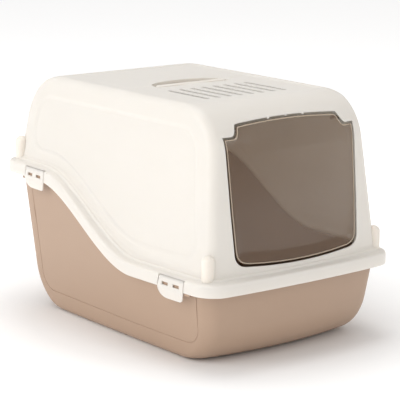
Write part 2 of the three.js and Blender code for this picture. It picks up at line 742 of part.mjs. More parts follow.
/** An open basket with a barred floor, hinged along its front edge. */
function filterHolder() {
  const { half, front, rear, depth, wall } = FILTER;
  const top = HEIGHT - WALL - 1;
  const axis = HEIGHT - WALL - FILTER.axisDrop;
  const outer = box([-half, front + 6, top - depth], [half, rear, top]);
  const inner = box([-half + wall, front + 6 + wall, top - depth + wall],
    [half - wall, rear - wall, top + 5]);
  const openings = Array.from({ length: 7 }, (_, k) => {
    const x0 = lerp(-half + 8, half - 8, k / 7);
    const x1 = lerp(-half + 8, half - 8, (k + 1) / 7);
    return box([x0 + 2, front + 16, top - depth - 5], [x1 - 2, rear - 10, top]);
  });
  const barrel = rod(3.2, -half, half, front + 2, axis);
  const web = box([-half, front + 2, axis - 1.2], [half, front + 7, axis + 1.2]);
  const trunnions = rod(2, -half - 4.6, half + 4.6, front + 2, axis);
  return join(cut(outer, inner, ...openings), barrel, web, trunnions);
}

function filterPad() {
  const { half, front, rear, depth, wall } = FILTER;
  const top = HEIGHT - WALL - 1;
  const inset = wall + 0.6;
  return box([-half + inset, front + 6 + inset, top - depth + wall + 0.3],
    [half - inset, rear - inset, top - 1]);
}

// ---------------------------------------------------------------- assembly

const litterBox = new THREE.Group();
litterBox.add(
  mesh('tray', tray(), TAUPE),
  mesh('hood', hood(), CREAM),
  mesh('door_flap', doorFlap(), SMOKED),
  mesh('door_pin_left', doorPin(-1), PIN_GREY),
  mesh('door_pin_right', doorPin(1), PIN_GREY),
  mesh('handle', handle(), CREAM),
  mesh('filter_holder', filterHolder(), CREAM),
  mesh('filter_pad', filterPad(), CARBON),
  ...STATIONS.flatMap((station) => [
    mesh(`latch_${station.name}`, latch(station), CREAM),
    mesh(`latch_pin_${station.name}`, latchPin(station), PIN_GREY),
  ]),
);

export default litterBox;
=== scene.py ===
"""Visual model of a hooded cat litter box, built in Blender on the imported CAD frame.

All sizes are in metres, in the frame's axes: +X to the right seen from the door, the door faces
-Y, +Z is up.
"""

import logging
import math
from dataclasses import dataclass
from enum import Enum
from functools import cached_property
from typing import Callable, Sequence, Union

import bmesh
import bpy
import numpy as np
from mathutils import Matrix, Vector


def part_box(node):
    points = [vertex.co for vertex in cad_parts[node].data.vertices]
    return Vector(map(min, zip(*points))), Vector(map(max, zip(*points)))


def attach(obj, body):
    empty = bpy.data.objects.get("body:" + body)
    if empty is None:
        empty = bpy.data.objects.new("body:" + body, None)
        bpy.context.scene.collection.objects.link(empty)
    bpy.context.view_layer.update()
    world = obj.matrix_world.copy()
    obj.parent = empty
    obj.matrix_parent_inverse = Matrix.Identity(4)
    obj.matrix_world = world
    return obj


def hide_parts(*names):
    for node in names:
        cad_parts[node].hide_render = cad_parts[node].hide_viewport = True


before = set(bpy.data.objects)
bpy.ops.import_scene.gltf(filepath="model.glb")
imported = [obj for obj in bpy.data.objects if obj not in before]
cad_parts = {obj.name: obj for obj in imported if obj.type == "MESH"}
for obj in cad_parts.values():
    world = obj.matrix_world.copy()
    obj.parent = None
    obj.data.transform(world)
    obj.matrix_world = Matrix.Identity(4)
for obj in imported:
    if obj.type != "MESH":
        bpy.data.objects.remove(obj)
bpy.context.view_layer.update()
LOG = logging.getLogger("litter_box")
MM = 0.001

SHELL_SHARP = 40.0  # edges of the tray and the hood over this angle, in degrees, stay sharp
SHEET_SHARP = 50.0
PART_SHARP = 30.0
BEAD_SHARP = 80.0
BEVEL_FROM = 38.0  # small parts are rounded along edges over this angle

Number = Union[float, "Socket"]
Colour = tuple[float, float, float]


# ------------------------------------------------------------------ shader sockets


class Socket:
    """A node's output that can be used in sums; each operator adds a Math node."""

    def __init__(self, tree: bpy.types.NodeTree, output: bpy.types.NodeSocket) -> None:
        """Wrap an output.

        Args:
            tree: the node tree that the output is in.
            output: the output to wrap.
        """
        self.tree = tree
        self.output = output

    def _math(self, operation: str, first: Number, second: Number) -> "Socket":
        """Add one Math node.

        Args:
            operation: the Math node's operation.
            first: its first value.
            second: its second value.

        Returns:
            The node's result.
        """
        node = self.tree.nodes.new("ShaderNodeMath")
        node.operation = operation
        for slot, value in zip(node.inputs, (first, second)):
            if isinstance(value, Socket):
                self.tree.links.new(value.output, slot)
            else:
                slot.default_value = value
        return Socket(self.tree, node.outputs[0])

    def __add__(self, other: Number) -> "Socket":
        """Add a value or a socket."""
        return self._math("ADD", self, other)

    def __radd__(self, other: Number) -> "Socket":
        """Add to a value."""
        return self._math("ADD", other, self)

    def __sub__(self, other: Number) -> "Socket":
        """Subtract a value or a socket."""
        return self._math("SUBTRACT", self, other)

    def __rsub__(self, other: Number) -> "Socket":
        """Subtract from a value."""
        return self._math("SUBTRACT", other, self)

    def __mul__(self, other: Number) -> "Socket":
        """Multiply by a value or a socket."""
        return self._math("MULTIPLY", self, other)

    def __rmul__(self, other: Number) -> "Socket":
        """Multiply a value."""
        return self._math("MULTIPLY", other, self)

    def __truediv__(self, other: Number) -> "Socket":
        """Divide by a value or a socket."""
        return self._math("DIVIDE", self, other)

    def __rtruediv__(self, other: Number) -> "Socket":
        """Divide a value."""
        return self._math("DIVIDE", other, self)

    def clamped(self, low: float, high: float) -> "Socket":
        """Limit the value.

        Args:
            low: the lowest result.
            high: the highest result.

        Returns:
            The limited value.
        """
        return self._math("MINIMUM", self._math("MAXIMUM", self, low), high)


def pick(slots: Sequence[bpy.types.NodeSocket], key: str | int) -> bpy.types.NodeSocket:
    """Find one of a node's sockets.

    Args:
        slots: the node's inputs or outputs.
        key: the socket's number, or its identifier with _ for a space.

    Returns:
        The socket.
    """
    if isinstance(key, int):
        return slots[key]
    return next(slot for slot in slots if slot.identifier.replace(" ", "_") == key)


class ShaderTree:
    """Builds the nodes of one material or of the surroundings."""

    BEVEL_SAMPLES = 6

    def __init__(self, owner: bpy.types.Material | bpy.types.World) -> None:
        """Start with no nodes.

        Args:
            owner: what the nodes belong to.
        """
        self.owner = owner
        owner.use_nodes = True
        self.tree = owner.node_tree
        self.tree.nodes.clear()

    @classmethod
    def material(cls, name: str) -> "ShaderTree":
        """Start a new material.

        Args:
            name: the material's name.

        Returns:
            Its empty tree.
        """
        return cls(bpy.data.materials.new(name))

    def node(
        self, kind: str, settings: dict[str, object] | None = None, **inputs: object
    ) -> bpy.types.Node:
        """Add a node.

        Args:
            kind: the node's type.
            settings: attributes to set on it, before its inputs.
            **inputs: values or sockets for its inputs, by identifier with _ for a space.

        Returns:
            The new node.
        """
        made = self.tree.nodes.new(kind)
        for key, value in (settings or {}).items():
            setattr(made, key, value)
        for key, value in inputs.items():
            slot = pick(made.inputs, key)
            if isinstance(value, Socket):
                self.tree.links.new(value.output, slot)
            else:
                slot.default_value = value
        return made

    def out(self, node: bpy.types.Node, key: str | int = 0) -> Socket:
        """Wrap one of a node's outputs.

        Args:
            node: the node.
            key: the output's number, or its identifier with _ for a space.

        Returns:
            The wrapped output.
        """
        return Socket(self.tree, pick(node.outputs, key))

    def noise(self, scale: float, detail: float = 2.0, stretch: Colour = (1, 1, 1)) -> Socket:
        """Add a noise pattern in object space.

        Args:
            scale: features per metre.
            detail: octaves of detail.
            stretch: scale along each axis.

        Returns:
            The pattern, from 0 to 1.
        """
        place = self.node("ShaderNodeTexCoord")
        fit = self.node("ShaderNodeMapping", Scale=stretch, Vector=self.out(place, "Object"))
        pattern = self.node(
            "ShaderNodeTexNoise", Vector=self.out(fit), Scale=scale, Detail=detail
        )
        return self.out(pattern)

    def mix(self, share: Number, first: Colour, second: Colour) -> Socket:
        """Mix two colours.

        Args:
            share: 0 for the first colour, 1 for the second.
            first: a linear colour.
            second: a linear colour.

        Returns:
            The mixed colour.
        """
        mixed = self.node(
            "ShaderNodeMix", {"data_type": "RGBA"},
            Factor_Float=share, A_Color=(*first, 1), B_Color=(*second, 1),
        )
        return self.out(mixed, "Result_Color")

    def normal(self, height: Number, distance: float, edge: float) -> Socket:
        """Round the edges and add a fine relief.

        Args:
            height: the relief's height, from 0 to 1.
            distance: the relief's depth.
            edge: the radius of the softened edges.

        Returns:
            The shading normal.
        """
        soft = self.node("ShaderNodeBevel", {"samples": self.BEVEL_SAMPLES}, Radius=edge)
        bump = self.node(
            "ShaderNodeBump", Strength=1.0, Distance=distance, Height=height,
            Normal=self.out(soft),
        )
        return self.out(bump)

    def surface(self, **inputs: object) -> bpy.types.Material:
        """Finish the material with one Principled shader.

        Args:
            **inputs: values or sockets for the shader's inputs.

        Returns:
            The material.
        """
        shader = self.node("ShaderNodeBsdfPrincipled", **inputs)
        self.node("ShaderNodeOutputMaterial", Surface=self.out(shader))
        return self.owner


# ------------------------------------------------------------------ finishes


CURVE_TOE = 0.04045  # the display curve is straight up to here
CURVE_SLOPE = 12.92
CURVE_OFFSET = 0.055
CURVE_POWER = 2.4


def linear(red: int, green: int, blue: int) -> Colour:
    """Turn a display colour into a linear one.

    Args:
        red: 0 to 255.
        green: 0 to 255.
        blue: 0 to 255.

    Returns:
        The linear colour.
    """

    def channel(value: int) -> float:
        """Turn one channel into a linear one."""
        share = value / 255
        if share <= CURVE_TOE:
            return share / CURVE_SLOPE
        return ((share + CURVE_OFFSET) / (1 + CURVE_OFFSET)) ** CURVE_POWER

    return channel(red), channel(green), channel(blue)


@dataclass(frozen=True)
class MouldedPlastic:
    """Injection-moulded polypropylene: satin, with a faint flow mottle and a fine grain."""

    name: str
    colour: Colour
    shade: Colour
    roughness: float = 0.42
    grain: float = 0.000025
    edge: float = 0.0008
    depth: float = 0.0

    def build(self) -> bpy.types.Material:
        """Make the material.

        Returns:
            The material.
        """
        tree = ShaderTree.material(self.name)
        flow = tree.noise(scale=9.0, detail=3.0, stretch=(1.0, 0.5, 1.4))
        grain = tree.noise(scale=2600.0, detail=2.0)
        scuff = tree.noise(scale=55.0, detail=4.0, stretch=(1.0, 0.4, 1.0))
        colour = tree.mix((flow * 0.55 + scuff * 0.45).clamped(0.0, 1.0), self.shade, self.colour)
        roughness = self.roughness + flow * 0.06 + scuff * 0.05 + grain * 0.03 - 0.06
        return tree.surface(
            Base_Color=colour,
            Roughness=roughness,
            Normal=tree.normal(grain, self.grain, self.edge),
            Coat_Weight=(scuff * 0.1 + 0.05).clamped(0.0, 1.0),
            Coat_Roughness=0.25,
            Subsurface_Weight=0.55 if self.depth else 0.0,
            Subsurface_Radius=(1.0, 0.96, 0.9),
            Subsurface_Scale=self.depth,
        )


@dataclass(frozen=True)
class SmokedSheet:
    """Brown-tinted clear polystyrene, glossy, with faint wipe marks; lighter and more opaque, it
    also gives the door bead's painted highlight.
    """

    name: str
    colour: Colour
    shade: Colour
    opacity: float = 0.26

    def build(self) -> bpy.types.Material:
        """Make the material.

        Returns:
            The material.
        """
        tree = ShaderTree.material(self.name)
        wipe = tree.noise(scale=26.0, detail=4.0, stretch=(0.5, 1.0, 1.6))
        speck = tree.noise(scale=900.0, detail=1.0)
        facing = tree.out(tree.node("ShaderNodeLayerWeight", Blend=0.35), "Facing")
        alpha = (self.opacity + facing * 0.15 + wipe * 0.04).clamped(0.0, 1.0)
        return tree.surface(
            Base_Color=tree.mix(wipe, self.shade, self.colour),
            Roughness=0.1 + wipe * 0.06 + speck * 0.02,
            Normal=tree.normal(speck, distance=0.0000008, edge=0.0006),
            Alpha=alpha,
            IOR=1.6,
            Specular_IOR_Level=0.8,
            Coat_Weight=0.4,
            Coat_IOR=1.6,
            Coat_Roughness=0.04,
        )


@dataclass(frozen=True)
class CarbonFelt:
    """Non-woven felt loaded with charcoal, with a nap that catches little light."""

    name: str
    charcoal: Colour = (0.006, 0.006, 0.006)
    lint: Colour = (0.05, 0.048, 0.045)

    def build(self) -> bpy.types.Material:
        """Make the material.

        Returns:
            The material.
        """
        tree = ShaderTree.material(self.name)
        fibre = tree.noise(scale=1300.0, detail=6.0, stretch=(1.0, 0.3, 1.0))
        clump = tree.noise(scale=160.0, detail=3.0)
        return tree.surface(
            Base_Color=tree.mix(fibre * 0.6 + clump * 0.4, self.charcoal, self.lint),
            Roughness=0.85 + fibre * 0.15,
            Normal=tree.normal(fibre, distance=0.0005, edge=0.0004),
            Sheen_Weight=0.3,
        )


@dataclass(frozen=True)
class StudioPaper:
    """The pale floor, with painted light: it glows by itself away from the object, and the glow
    fades out towards the object, which leaves a darker painted shadow round the box.
    """

    name: str
    colour: Colour
    fibre: Colour = (0.9, 0.9, 0.9)
    lift: float = 0.34
    lift_from: float = 0.27
    lift_over: float = 0.35

    def build(self) -> bpy.types.Material:
        """Make the material.

        Returns:
            The material.
        """
        tree = ShaderTree.material(self.name)
        fibre = tree.noise(scale=400.0, detail=2.0)
        place = tree.out(tree.node("ShaderNodeTexCoord"), "Object")
        away = tree.node("ShaderNodeVectorMath", {"operation": "LENGTH"}, Vector=place)
        # Painted light: the glow is 0 within lift_from of the object's middle and full beyond
        # lift_from + lift_over, so the floor round the box is a painted shadow.
        share = ((tree.out(away, "Value") - self.lift_from) / self.lift_over).clamped(0.0, 1.0)
        return tree.surface(
            Base_Color=tree.mix(fibre * 0.1, self.colour, self.fibre),
            Roughness=0.9,
            Emission_Color=tree.mix(share, (0.0, 0.0, 0.0), (self.lift, self.lift, self.lift)),
            Emission_Strength=1.0,
        )


# ------------------------------------------------------------------ the box's form


def smoothstep(value: np.ndarray, low: float, high: float) -> np.ndarray:
    """Ease from 0 to 1.

    Args:
        value: where to read the curve.
        low: where it leaves 0.
        high: where it reaches 1.

    Returns:
        The eased values.
    """
    share = np.clip((value - low) / (high - low), 0.0, 1.0)
    return share * share * (3.0 - 2.0 * share)


def soft_min(values: Sequence[np.ndarray], radius: float) -> np.ndarray:
    """The least of several distances, with rounded corners.

    Args:
        values: distances inside each of a panel's borders.
        radius: how far round the corners are.

    Returns:
        The distance inside the rounded panel.
    """
    short = [np.maximum(radius - value, 0.0) for value in values]
    return radius - np.sqrt(sum(value * value for value in short))


@dataclass(frozen=True)
class EndWall:
    """An end wall that leans and meets a level face in a radius."""

    at_face: float
    lean: float
    radius: float

    def out(self, rise: np.ndarray | float, inset: float = 0.0) -> np.ndarray:
        """How far out the wall stands.

        Args:
            rise: distance from the level face.
            inset: how far the skin is pulled in.

        Returns:
            The distance out.
        """
        rise = np.asarray(rise, float)
        tilt = math.atan(self.lean)
        turn = self.radius - inset
        straight = self.at_face + self.lean * rise - inset / math.cos(tilt)
        centre = self.at_face + self.lean * self.radius - self.radius / math.cos(tilt)
        arc = centre + np.sqrt(np.maximum(turn**2 - (self.radius - rise) ** 2, 0.0))
        return np.where(rise >= self.radius - turn * math.sin(tilt), straight, arc)


def round_in(radius: float, rise: np.ndarray) -> np.ndarray:
    """How far a rounded long edge has drawn in.

    Args:
        radius: the edge's radius.
        rise: distance from the level face.

    Returns:
        The distance drawn in.
    """
    short = np.maximum(radius - np.asarray(rise, float), 0.0)
    return radius - np.sqrt(np.maximum(radius**2 - short**2, 0.0))


@dataclass(frozen=True)
class BoxForm:
    """Sizes that the hood, tray and door share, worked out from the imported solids."""

    side_bow: float = 10 * MM
    front_bow: float = 8 * MM
    corner: float = 34 * MM
    wall: float = 2.5 * MM
    skirt: float = 20 * MM
    ledge: float = 19.5 * MM
    ramp: tuple[float, float] = (-95 * MM, 165 * MM)
    rim_rise: float = 108.5 * MM
    edge: float = 12 * MM
    hood_draft: float = 29.5 * MM
    top_bow: float = 4 * MM
    tray_inset: float = 14.7 * MM
    tray_draft: float = 23.3 * MM
    tray_bow: float = 19 * MM
    tray_corner: float = 23 * MM
    front_lean: float = 0.105
    rear_lean: float = 0.098
    front_turn: float = 77 * MM
    rear_turn: float = 79 * MM
    tray_lean: float = 0.1
    tray_front_tuck: float = 37.4 * MM
    tray_rear_tuck: float = 57.3 * MM
    tray_front_turn: float = 71 * MM
    tray_rear_turn: float = 80 * MM

    @cached_property
    def half_width(self) -> float:
        """Half the skirt's width at mid length."""
        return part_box("hood")[1].x

    @cached_property
    def half_length(self) -> float:
        """From the middle of the rim's plan to its corners."""
        low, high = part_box("hood")
        return (high.y - low.y - self.front_bow) / 2

    @cached_property
    def shift(self) -> float:
        """How far the bowed front edge moves the plan's middle."""
        return self.front_bow / 2

    @cached_property
    def height(self) -> float:
        """Height of the hood's top."""
        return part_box("hood")[1].z

    @cached_property
    def rim_low(self) -> float:
        """Height of the skirt's lower edge along the front."""
        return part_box("hood")[0].z

    def rim(self, y: np.ndarray | float) -> np.ndarray:
        """Height of the skirt's lower edge.

        Args:
            y: place along the length.

        Returns:
            The height there.
        """
        return self.rim_low + self.rim_rise * smoothstep(np.asarray(y, float), *self.ramp)

    def rim_half(self, y: np.ndarray) -> np.ndarray:
        """Half width of the skirt.

        Args:
            y: place along the length.

        Returns:
            The half width there.
        """
        return self.half_width - self.side_bow * (y / self.half_length) ** 2

    def hood_wall(self, front: bool) -> EndWall:
        """One of the hood's end walls.

        Args:
            front: the wall with the door, or the back wall.

        Returns:
            The wall.
        """
        lean = self.front_lean if front else self.rear_lean
        rim = self.rim_low + (0 if front else self.rim_rise) + self.skirt
        skirt = self.half_length + (-self.shift if front else self.shift)
        at_face = skirt - self.ledge - lean * (self.height - rim)
        return EndWall(at_face, lean, self.front_turn if front else self.rear_turn)

    def tray_wall(self, front: bool) -> EndWall:
        """One of the tray's end walls.

        Args:
            front: the wall under the door, or the back wall.

        Returns:
            The wall.
        """
        if front:
            foot, turn = self.half_length - self.shift - self.tray_front_tuck, self.tray_front_turn
        else:
            foot, turn = self.half_length + self.shift - self.tray_rear_tuck, self.tray_rear_turn
        return EndWall(foot, self.tray_lean, turn)

    def hood_front(self, x: np.ndarray, z: np.ndarray, inset: float) -> np.ndarray:
        """Place of the hood's front skin.

        Args:
            x: place across.
            z: height.
            inset: how far the skin is pulled in.

        Returns:
            The y of the skin.
        """
        out = self.hood_wall(True).out(self.height - z, inset)
        share = (z - self.rim_low - self.skirt) / (self.height - self.rim_low - self.skirt)
        half = self.half_width - self.ledge - self.hood_draft * share - self.side_bow * 0.8
        return -out - self.front_bow * np.maximum(0.0, 1.0 - (x / half) ** 2)


class Plan:
    """A closed plan outline with bowed sides and front, with the same columns at every height."""

    CORNER_STEPS = 10
    SIDE_STEPS = 136
    END_STEPS = 50

    def __init__(self) -> None:
        """Lay out the columns: corners, long sides and ends, anticlockwise from the front right."""
        rows: list[tuple[str, float, float, float]] = []

        def corner(sx: int, sy: int, start: float) -> None:
            """Add a corner's columns."""
            for k in range(self.CORNER_STEPS + 1):
                rows.append(("corner", sx, sy, start + k / self.CORNER_STEPS * math.pi / 2))

        def side(sx: int) -> None:
            """Add a long side's columns."""
            for k in range(1, self.SIDE_STEPS):
                share = k / self.SIDE_STEPS
                rows.append(("side", sx, 0, share if sx > 0 else 1 - share))

        def end(sy: int) -> None:
            """Add an end's columns."""
            for k in range(1, self.END_STEPS):
                rows.append(("end", 0, sy, (1 - 2 * k / self.END_STEPS) * sy))

        corner(1, -1, -math.pi / 2)
        side(1)
        corner(1, 1, 0.0)
        end(1)
        corner(-1, 1, math.pi / 2)
        side(-1)
        corner(-1, -1, math.pi)
        end(-1)
        self.at_corner = np.array([row[0] == "corner" for row in rows])
        self.at_side = np.array([row[0] == "side" for row in rows])
        self.sx = np.array([row[1] for row in rows], float)
        self.sy = np.array([row[2] for row in rows], float)
        self.turn = np.array([row[3] for row in rows], float)

    def outline(
        self,
        half_at: Callable[[np.ndarray], np.ndarray],
        front: np.ndarray,
        rear: np.ndarray,
        radius: float,
        front_bow: float,
    ) -> tuple[np.ndarray, np.ndarray]:
        """Work out one outline.

        Args:
            half_at: half width along the length.
            front: y of the front wall at its corners, for each column or for all.
            rear: y of the rear wall.
            radius: the upright corners' radius.
            front_bow: how far the front's middle stands out.

        Returns:
            The x and y of each column.
        """
        front = front + 0 * self.turn
        rear = rear + 0 * self.turn
        centre = np.where(self.sy < 0, front + radius, rear - radius)
        end = np.where(self.sy < 0, front, rear)
        along = front + radius + (rear - front - 2 * radius) * self.turn
        y = np.where(self.at_side, along, end)
        y = np.where(self.at_corner, centre + radius * np.sin(self.turn), y)
        half = half_at(y)
        x = np.where(self.at_side, self.sx * half, self.turn * (half - radius))
        round_x = self.sx * (half - radius) + radius * np.cos(self.turn)
        x = np.where(self.at_corner, round_x, x)
        full = half_at(front)
        bow = front_bow * np.maximum(0.0, 1.0 - (x / full) ** 2)
        return x, y - np.where(y < front + radius + 1e-9, bow, 0.0)


PLAN = Plan()

# ------------------------------------------------------------------ mesh helpers


def mesh_object(name: str, mesh: bmesh.types.BMesh, sharp: float = 32.0) -> bpy.types.Object:
    """Turn a bmesh into an object with smooth faces and sharp edges.

    Args:
        name: the object's name.
        mesh: the mesh, which is freed.
        sharp: edges over this angle, in degrees, stay sharp.

    Returns:
        The object.
    """
    bmesh.ops.recalc_face_normals(mesh, faces=mesh.faces)
    data = bpy.data.meshes.new(name)
    mesh.to_mesh(data)
    mesh.free()
    data.shade_smooth()
    data.set_sharp_from_angle(angle=math.radians(sharp))
    made = bpy.data.objects.new(name, data)
    bpy.context.scene.collection.objects.link(made)
    return made


def add_rows(mesh: bmesh.types.BMesh, rows: Sequence[np.ndarray]) -> None:
    """Add a closed skin over rings of points, with a face over each end.

    Args:
        mesh: the mesh to add to.
        rows: rings with equal numbers of points.
    """
    rings = [[mesh.verts.new(point) for point in row] for row in rows]
    count = len(rings[0])
    for low, high in zip(rings, rings[1:]):
        for k in range(count):
            n = (k + 1) % count
            mesh.faces.new((low[k], low[n], high[n], high[k]))
    mesh.faces.new(rings[0][::-1])
    mesh.faces.new(rings[-1])


def carve(body: bpy.types.Object, tool: bpy.types.Object, operation: str, sharp: float) -> None:
    """Cut or join one object with another and keep the result as a plain mesh.

    Args:
        body: the object to change.
        tool: the object to cut or join with, which is removed.
        operation: DIFFERENCE or UNION.
        sharp: edges over this angle, in degrees, stay sharp.
    """
    step = body.modifiers.new("carve", "BOOLEAN")
    step.operation = operation
    step.solver = "MANIFOLD"
    step.object = tool
    graph = bpy.context.evaluated_depsgraph_get()
    result = bpy.data.meshes.new_from_object(body.evaluated_get(graph))
    body.modifiers.clear()
    body.data = result
    result.shade_smooth()
    result.set_sharp_from_angle(angle=math.radians(sharp))
    bpy.data.objects.remove(tool)


def dress(piece: bpy.types.Object, material: bpy.types.Material) -> None:
    """Give a piece its material.

    Args:
        piece: the piece.
        material: its material.
    """
    piece.data.materials.clear()
    piece.data.materials.append(material)


def turn_rises(radius: float) -> list[float]:
    """Where the rings of a rounded border lie.

    Args:
        radius: the border's radius.

    Returns:
        Distances from the level face, closer together near it.
    """
    return [radius * (1 - math.cos(math.radians(a))) for a in np.linspace(0, 84, 30)]


class Shapes:
    """Collects closed solids that are joined to a body or cut from it in one go."""

    def __init__(self, name: str) -> None:
        """Start with nothing.

        Args:
            name: the tool object's name.
        """
        self.name = name
        self.mesh = bmesh.new()

    def prism(self, outline: Sequence[Sequence[float]], depth: Sequence[float]) -> None:
        """Add a straight prism.

        Args:
            outline: the corners of one end, in space.
            depth: from that end to the other.
        """
        base = np.array(outline, float)
        add_rows(self.mesh, [base, base + np.array(depth, float)])

    def block(self, low: Sequence[float], high: Sequence[float]) -> None:
        """Add a box.

        Args:
            low: its lowest corner.
            high: its highest corner.
        """
        (x0, y0, z0), (x1, y1, z1) = low, high
        self.prism([(x0, y0, z0), (x1, y0, z0), (x1, y1, z0), (x0, y1, z0)], (0, 0, z1 - z0))

    def bar(self, start: Sequence[float], end: Sequence[float], radius: float, sides: int) -> None:
        """Add a round bar.

        Args:
            start: the middle of one end.
            end: the middle of the other.
            radius: its radius.
            sides: faces round it.
        """
        first, last = Vector(start), Vector(end)
        axis = (last - first).normalized()
        across = axis.orthogonal().normalized()
        other = axis.cross(across)
        ring = [
            first + radius * (math.cos(a) * across + math.sin(a) * other)
            for a in (2 * math.pi * k / sides for k in range(sides))
        ]
        self.prism([tuple(point) for point in ring], tuple(last - first))

    def tube(self, path: Sequence[Sequence[float]], radius: float) -> None:
        """Add a round tube along a path that runs across X.

        Args:
            path: the points on its middle.
            radius: its radius.
        """
        points = np.array(path, float)
        along = np.gradient(points, axis=0)
        along /= np.linalg.norm(along, axis=1)[:, None]
        out = np.array([1.0, 0.0, 0.0]) - along * along[:, :1]
        out /= np.linalg.norm(out, axis=1)[:, None]
        across = np.cross(along, out)
        angles = np.linspace(0, 2 * math.pi, 8, endpoint=False)
        add_rows(self.mesh, [
            point + radius * (np.cos(angles)[:, None] * o + np.sin(angles)[:, None] * a)
            for point, o, a in zip(points, out, across)
        ])

    def turned(self, foot: Sequence[float], profile: Sequence[tuple[float, float]]) -> None:
        """Add a body turned round an upright axis.

        Args:
            foot: the axis's lower end.
            profile: radius and height, from the bottom to the top.
        """
        angles = np.linspace(0, 2 * math.pi, 40, endpoint=False)
        ring = np.stack([np.cos(angles), np.sin(angles), 0 * angles], 1)
        rows = [ring * radius + np.array(foot) + (0, 0, z) for radius, z in profile]
        add_rows(self.mesh, rows)

    def object(self) -> bpy.types.Object:
        """Make the tool object.

        Returns:
            The object.
        """
        return mesh_object(self.name, self.mesh)


# ------------------------------------------------------------------ latch stations

FRONT_LATCH = 92 * MM  # from each end of the rim's plan to the latch next to it
REAR_LATCH = 103 * MM


@dataclass(frozen=True)
class Station:
    """A place on the skirt where a latch hangs."""

    name: str
    side: int
    y: float
    form: BoxForm
    width: float = 62 * MM
    drop: float = 16 * MM
    slant: float = 5 * MM
    axis_height: float = 16.3 * MM
    axis_depth: float = 2.2 * MM

    @property
    def barrel(self) -> tuple[float, float]:
        """Where the hinge barrel starts and ends, counted towards the rear."""
        return -self.width / 2 + 1 * MM, self.width / 2 - self.slant - 1 * MM

    def place(self, along: float, up: float, out: float) -> tuple[float, float, float]:
        """Turn a place at the station into one in the frame.

        Args:
            along: along the skirt, towards the rear.
            up: up from the skirt's lower edge.
            out: out from the skirt's face.

        Returns:
            The place in the frame.
        """
        slope = -2 * self.form.side_bow * self.y / self.form.half_length**2
        way = Vector((slope, self.side, 0)).normalized()
        face = way.cross(Vector((0, 0, 1)))
        at = Vector((
            self.side * float(self.form.rim_half(np.array(self.y))),
            self.y,
            float(self.form.rim(self.y)),
        ))
        return tuple(at + way * along * self.side + Vector((0, 0, up)) + face * out)

    def outline(self, grow: float, low: float | None = None) -> list[tuple[float, float]]:
        """The latch's outline, or the outline of the opening round it.

        Args:
            grow: the gap all round.
            low: where the opening ends below, or None for the latch itself.

        Returns:
            Places along and up.
        """
        half = self.width / 2 + grow
        top = self.axis_height + 1.8 * grow
        points = [(-half, top), (half - self.slant, top)]
        if low is not None:
            return points + [(half, low), (-half + self.slant / 2, low)]
        points.append((half, -1 * MM))
        for k in range(1, 13):
            t = k / 12
            u = 1 - t
            points.append((
                u * u * half + 2 * u * t * half * 0.82 + t * t * 4 * MM,
                u * u * -1 * MM - (2 * u * t + t * t) * self.drop,
            ))
        points.append((-half + self.slant + 4 * MM, -self.drop))
        for k in range(1, 7):
            t = k / 6
            u = 1 - t
            points.append((
                -u * u * (half - self.slant - 4 * MM) - 2 * u * t * (half - 4 * MM)
                - t * t * (half - 3.5 * MM),
                -self.drop + t * t * 5 * MM,
            ))
        return points

    def slab(
        self, shapes: Shapes, outline: Sequence[tuple[float, float]], inner: float, outer: float
    ) -> None:
        """Add an outline standing between two depths.

        Args:
            shapes: where it is added.
            outline: places along and up.
            inner: its inner depth from the skirt's face.
            outer: its outer depth.
        """
        base = [self.place(a, u, inner) for a, u in outline]
        step = Vector(self.place(0, 0, outer)) - Vector(self.place(0, 0, inner))
        shapes.prism(base, tuple(step))

    def rod(self, shapes: Shapes, radius: float, start: float, end: float) -> None:
        """Add a round bar on the hinge line.

        Args:
            shapes: where it is added.
            radius: its radius.
            start: where it starts, counted towards the rear.
            end: where it ends.
        """
        first = self.place(start, self.axis_height, -self.axis_depth)
        last = self.place(end, self.axis_height, -self.axis_depth)
        shapes.bar(first, last, radius, 24)


def rectangle(x0: float, x1: float, y0: float, y1: float) -> list[tuple[float, float]]:
    """The corners of a rectangle.

    Args:
        x0: its left side.
        x1: its right side.
        y0: its lower side.
        y1: its upper side.

    Returns:
        The corners.
    """
    return [(x0, y0), (x1, y0), (x1, y1), (x0, y1)]


# ------------------------------------------------------------------ tray


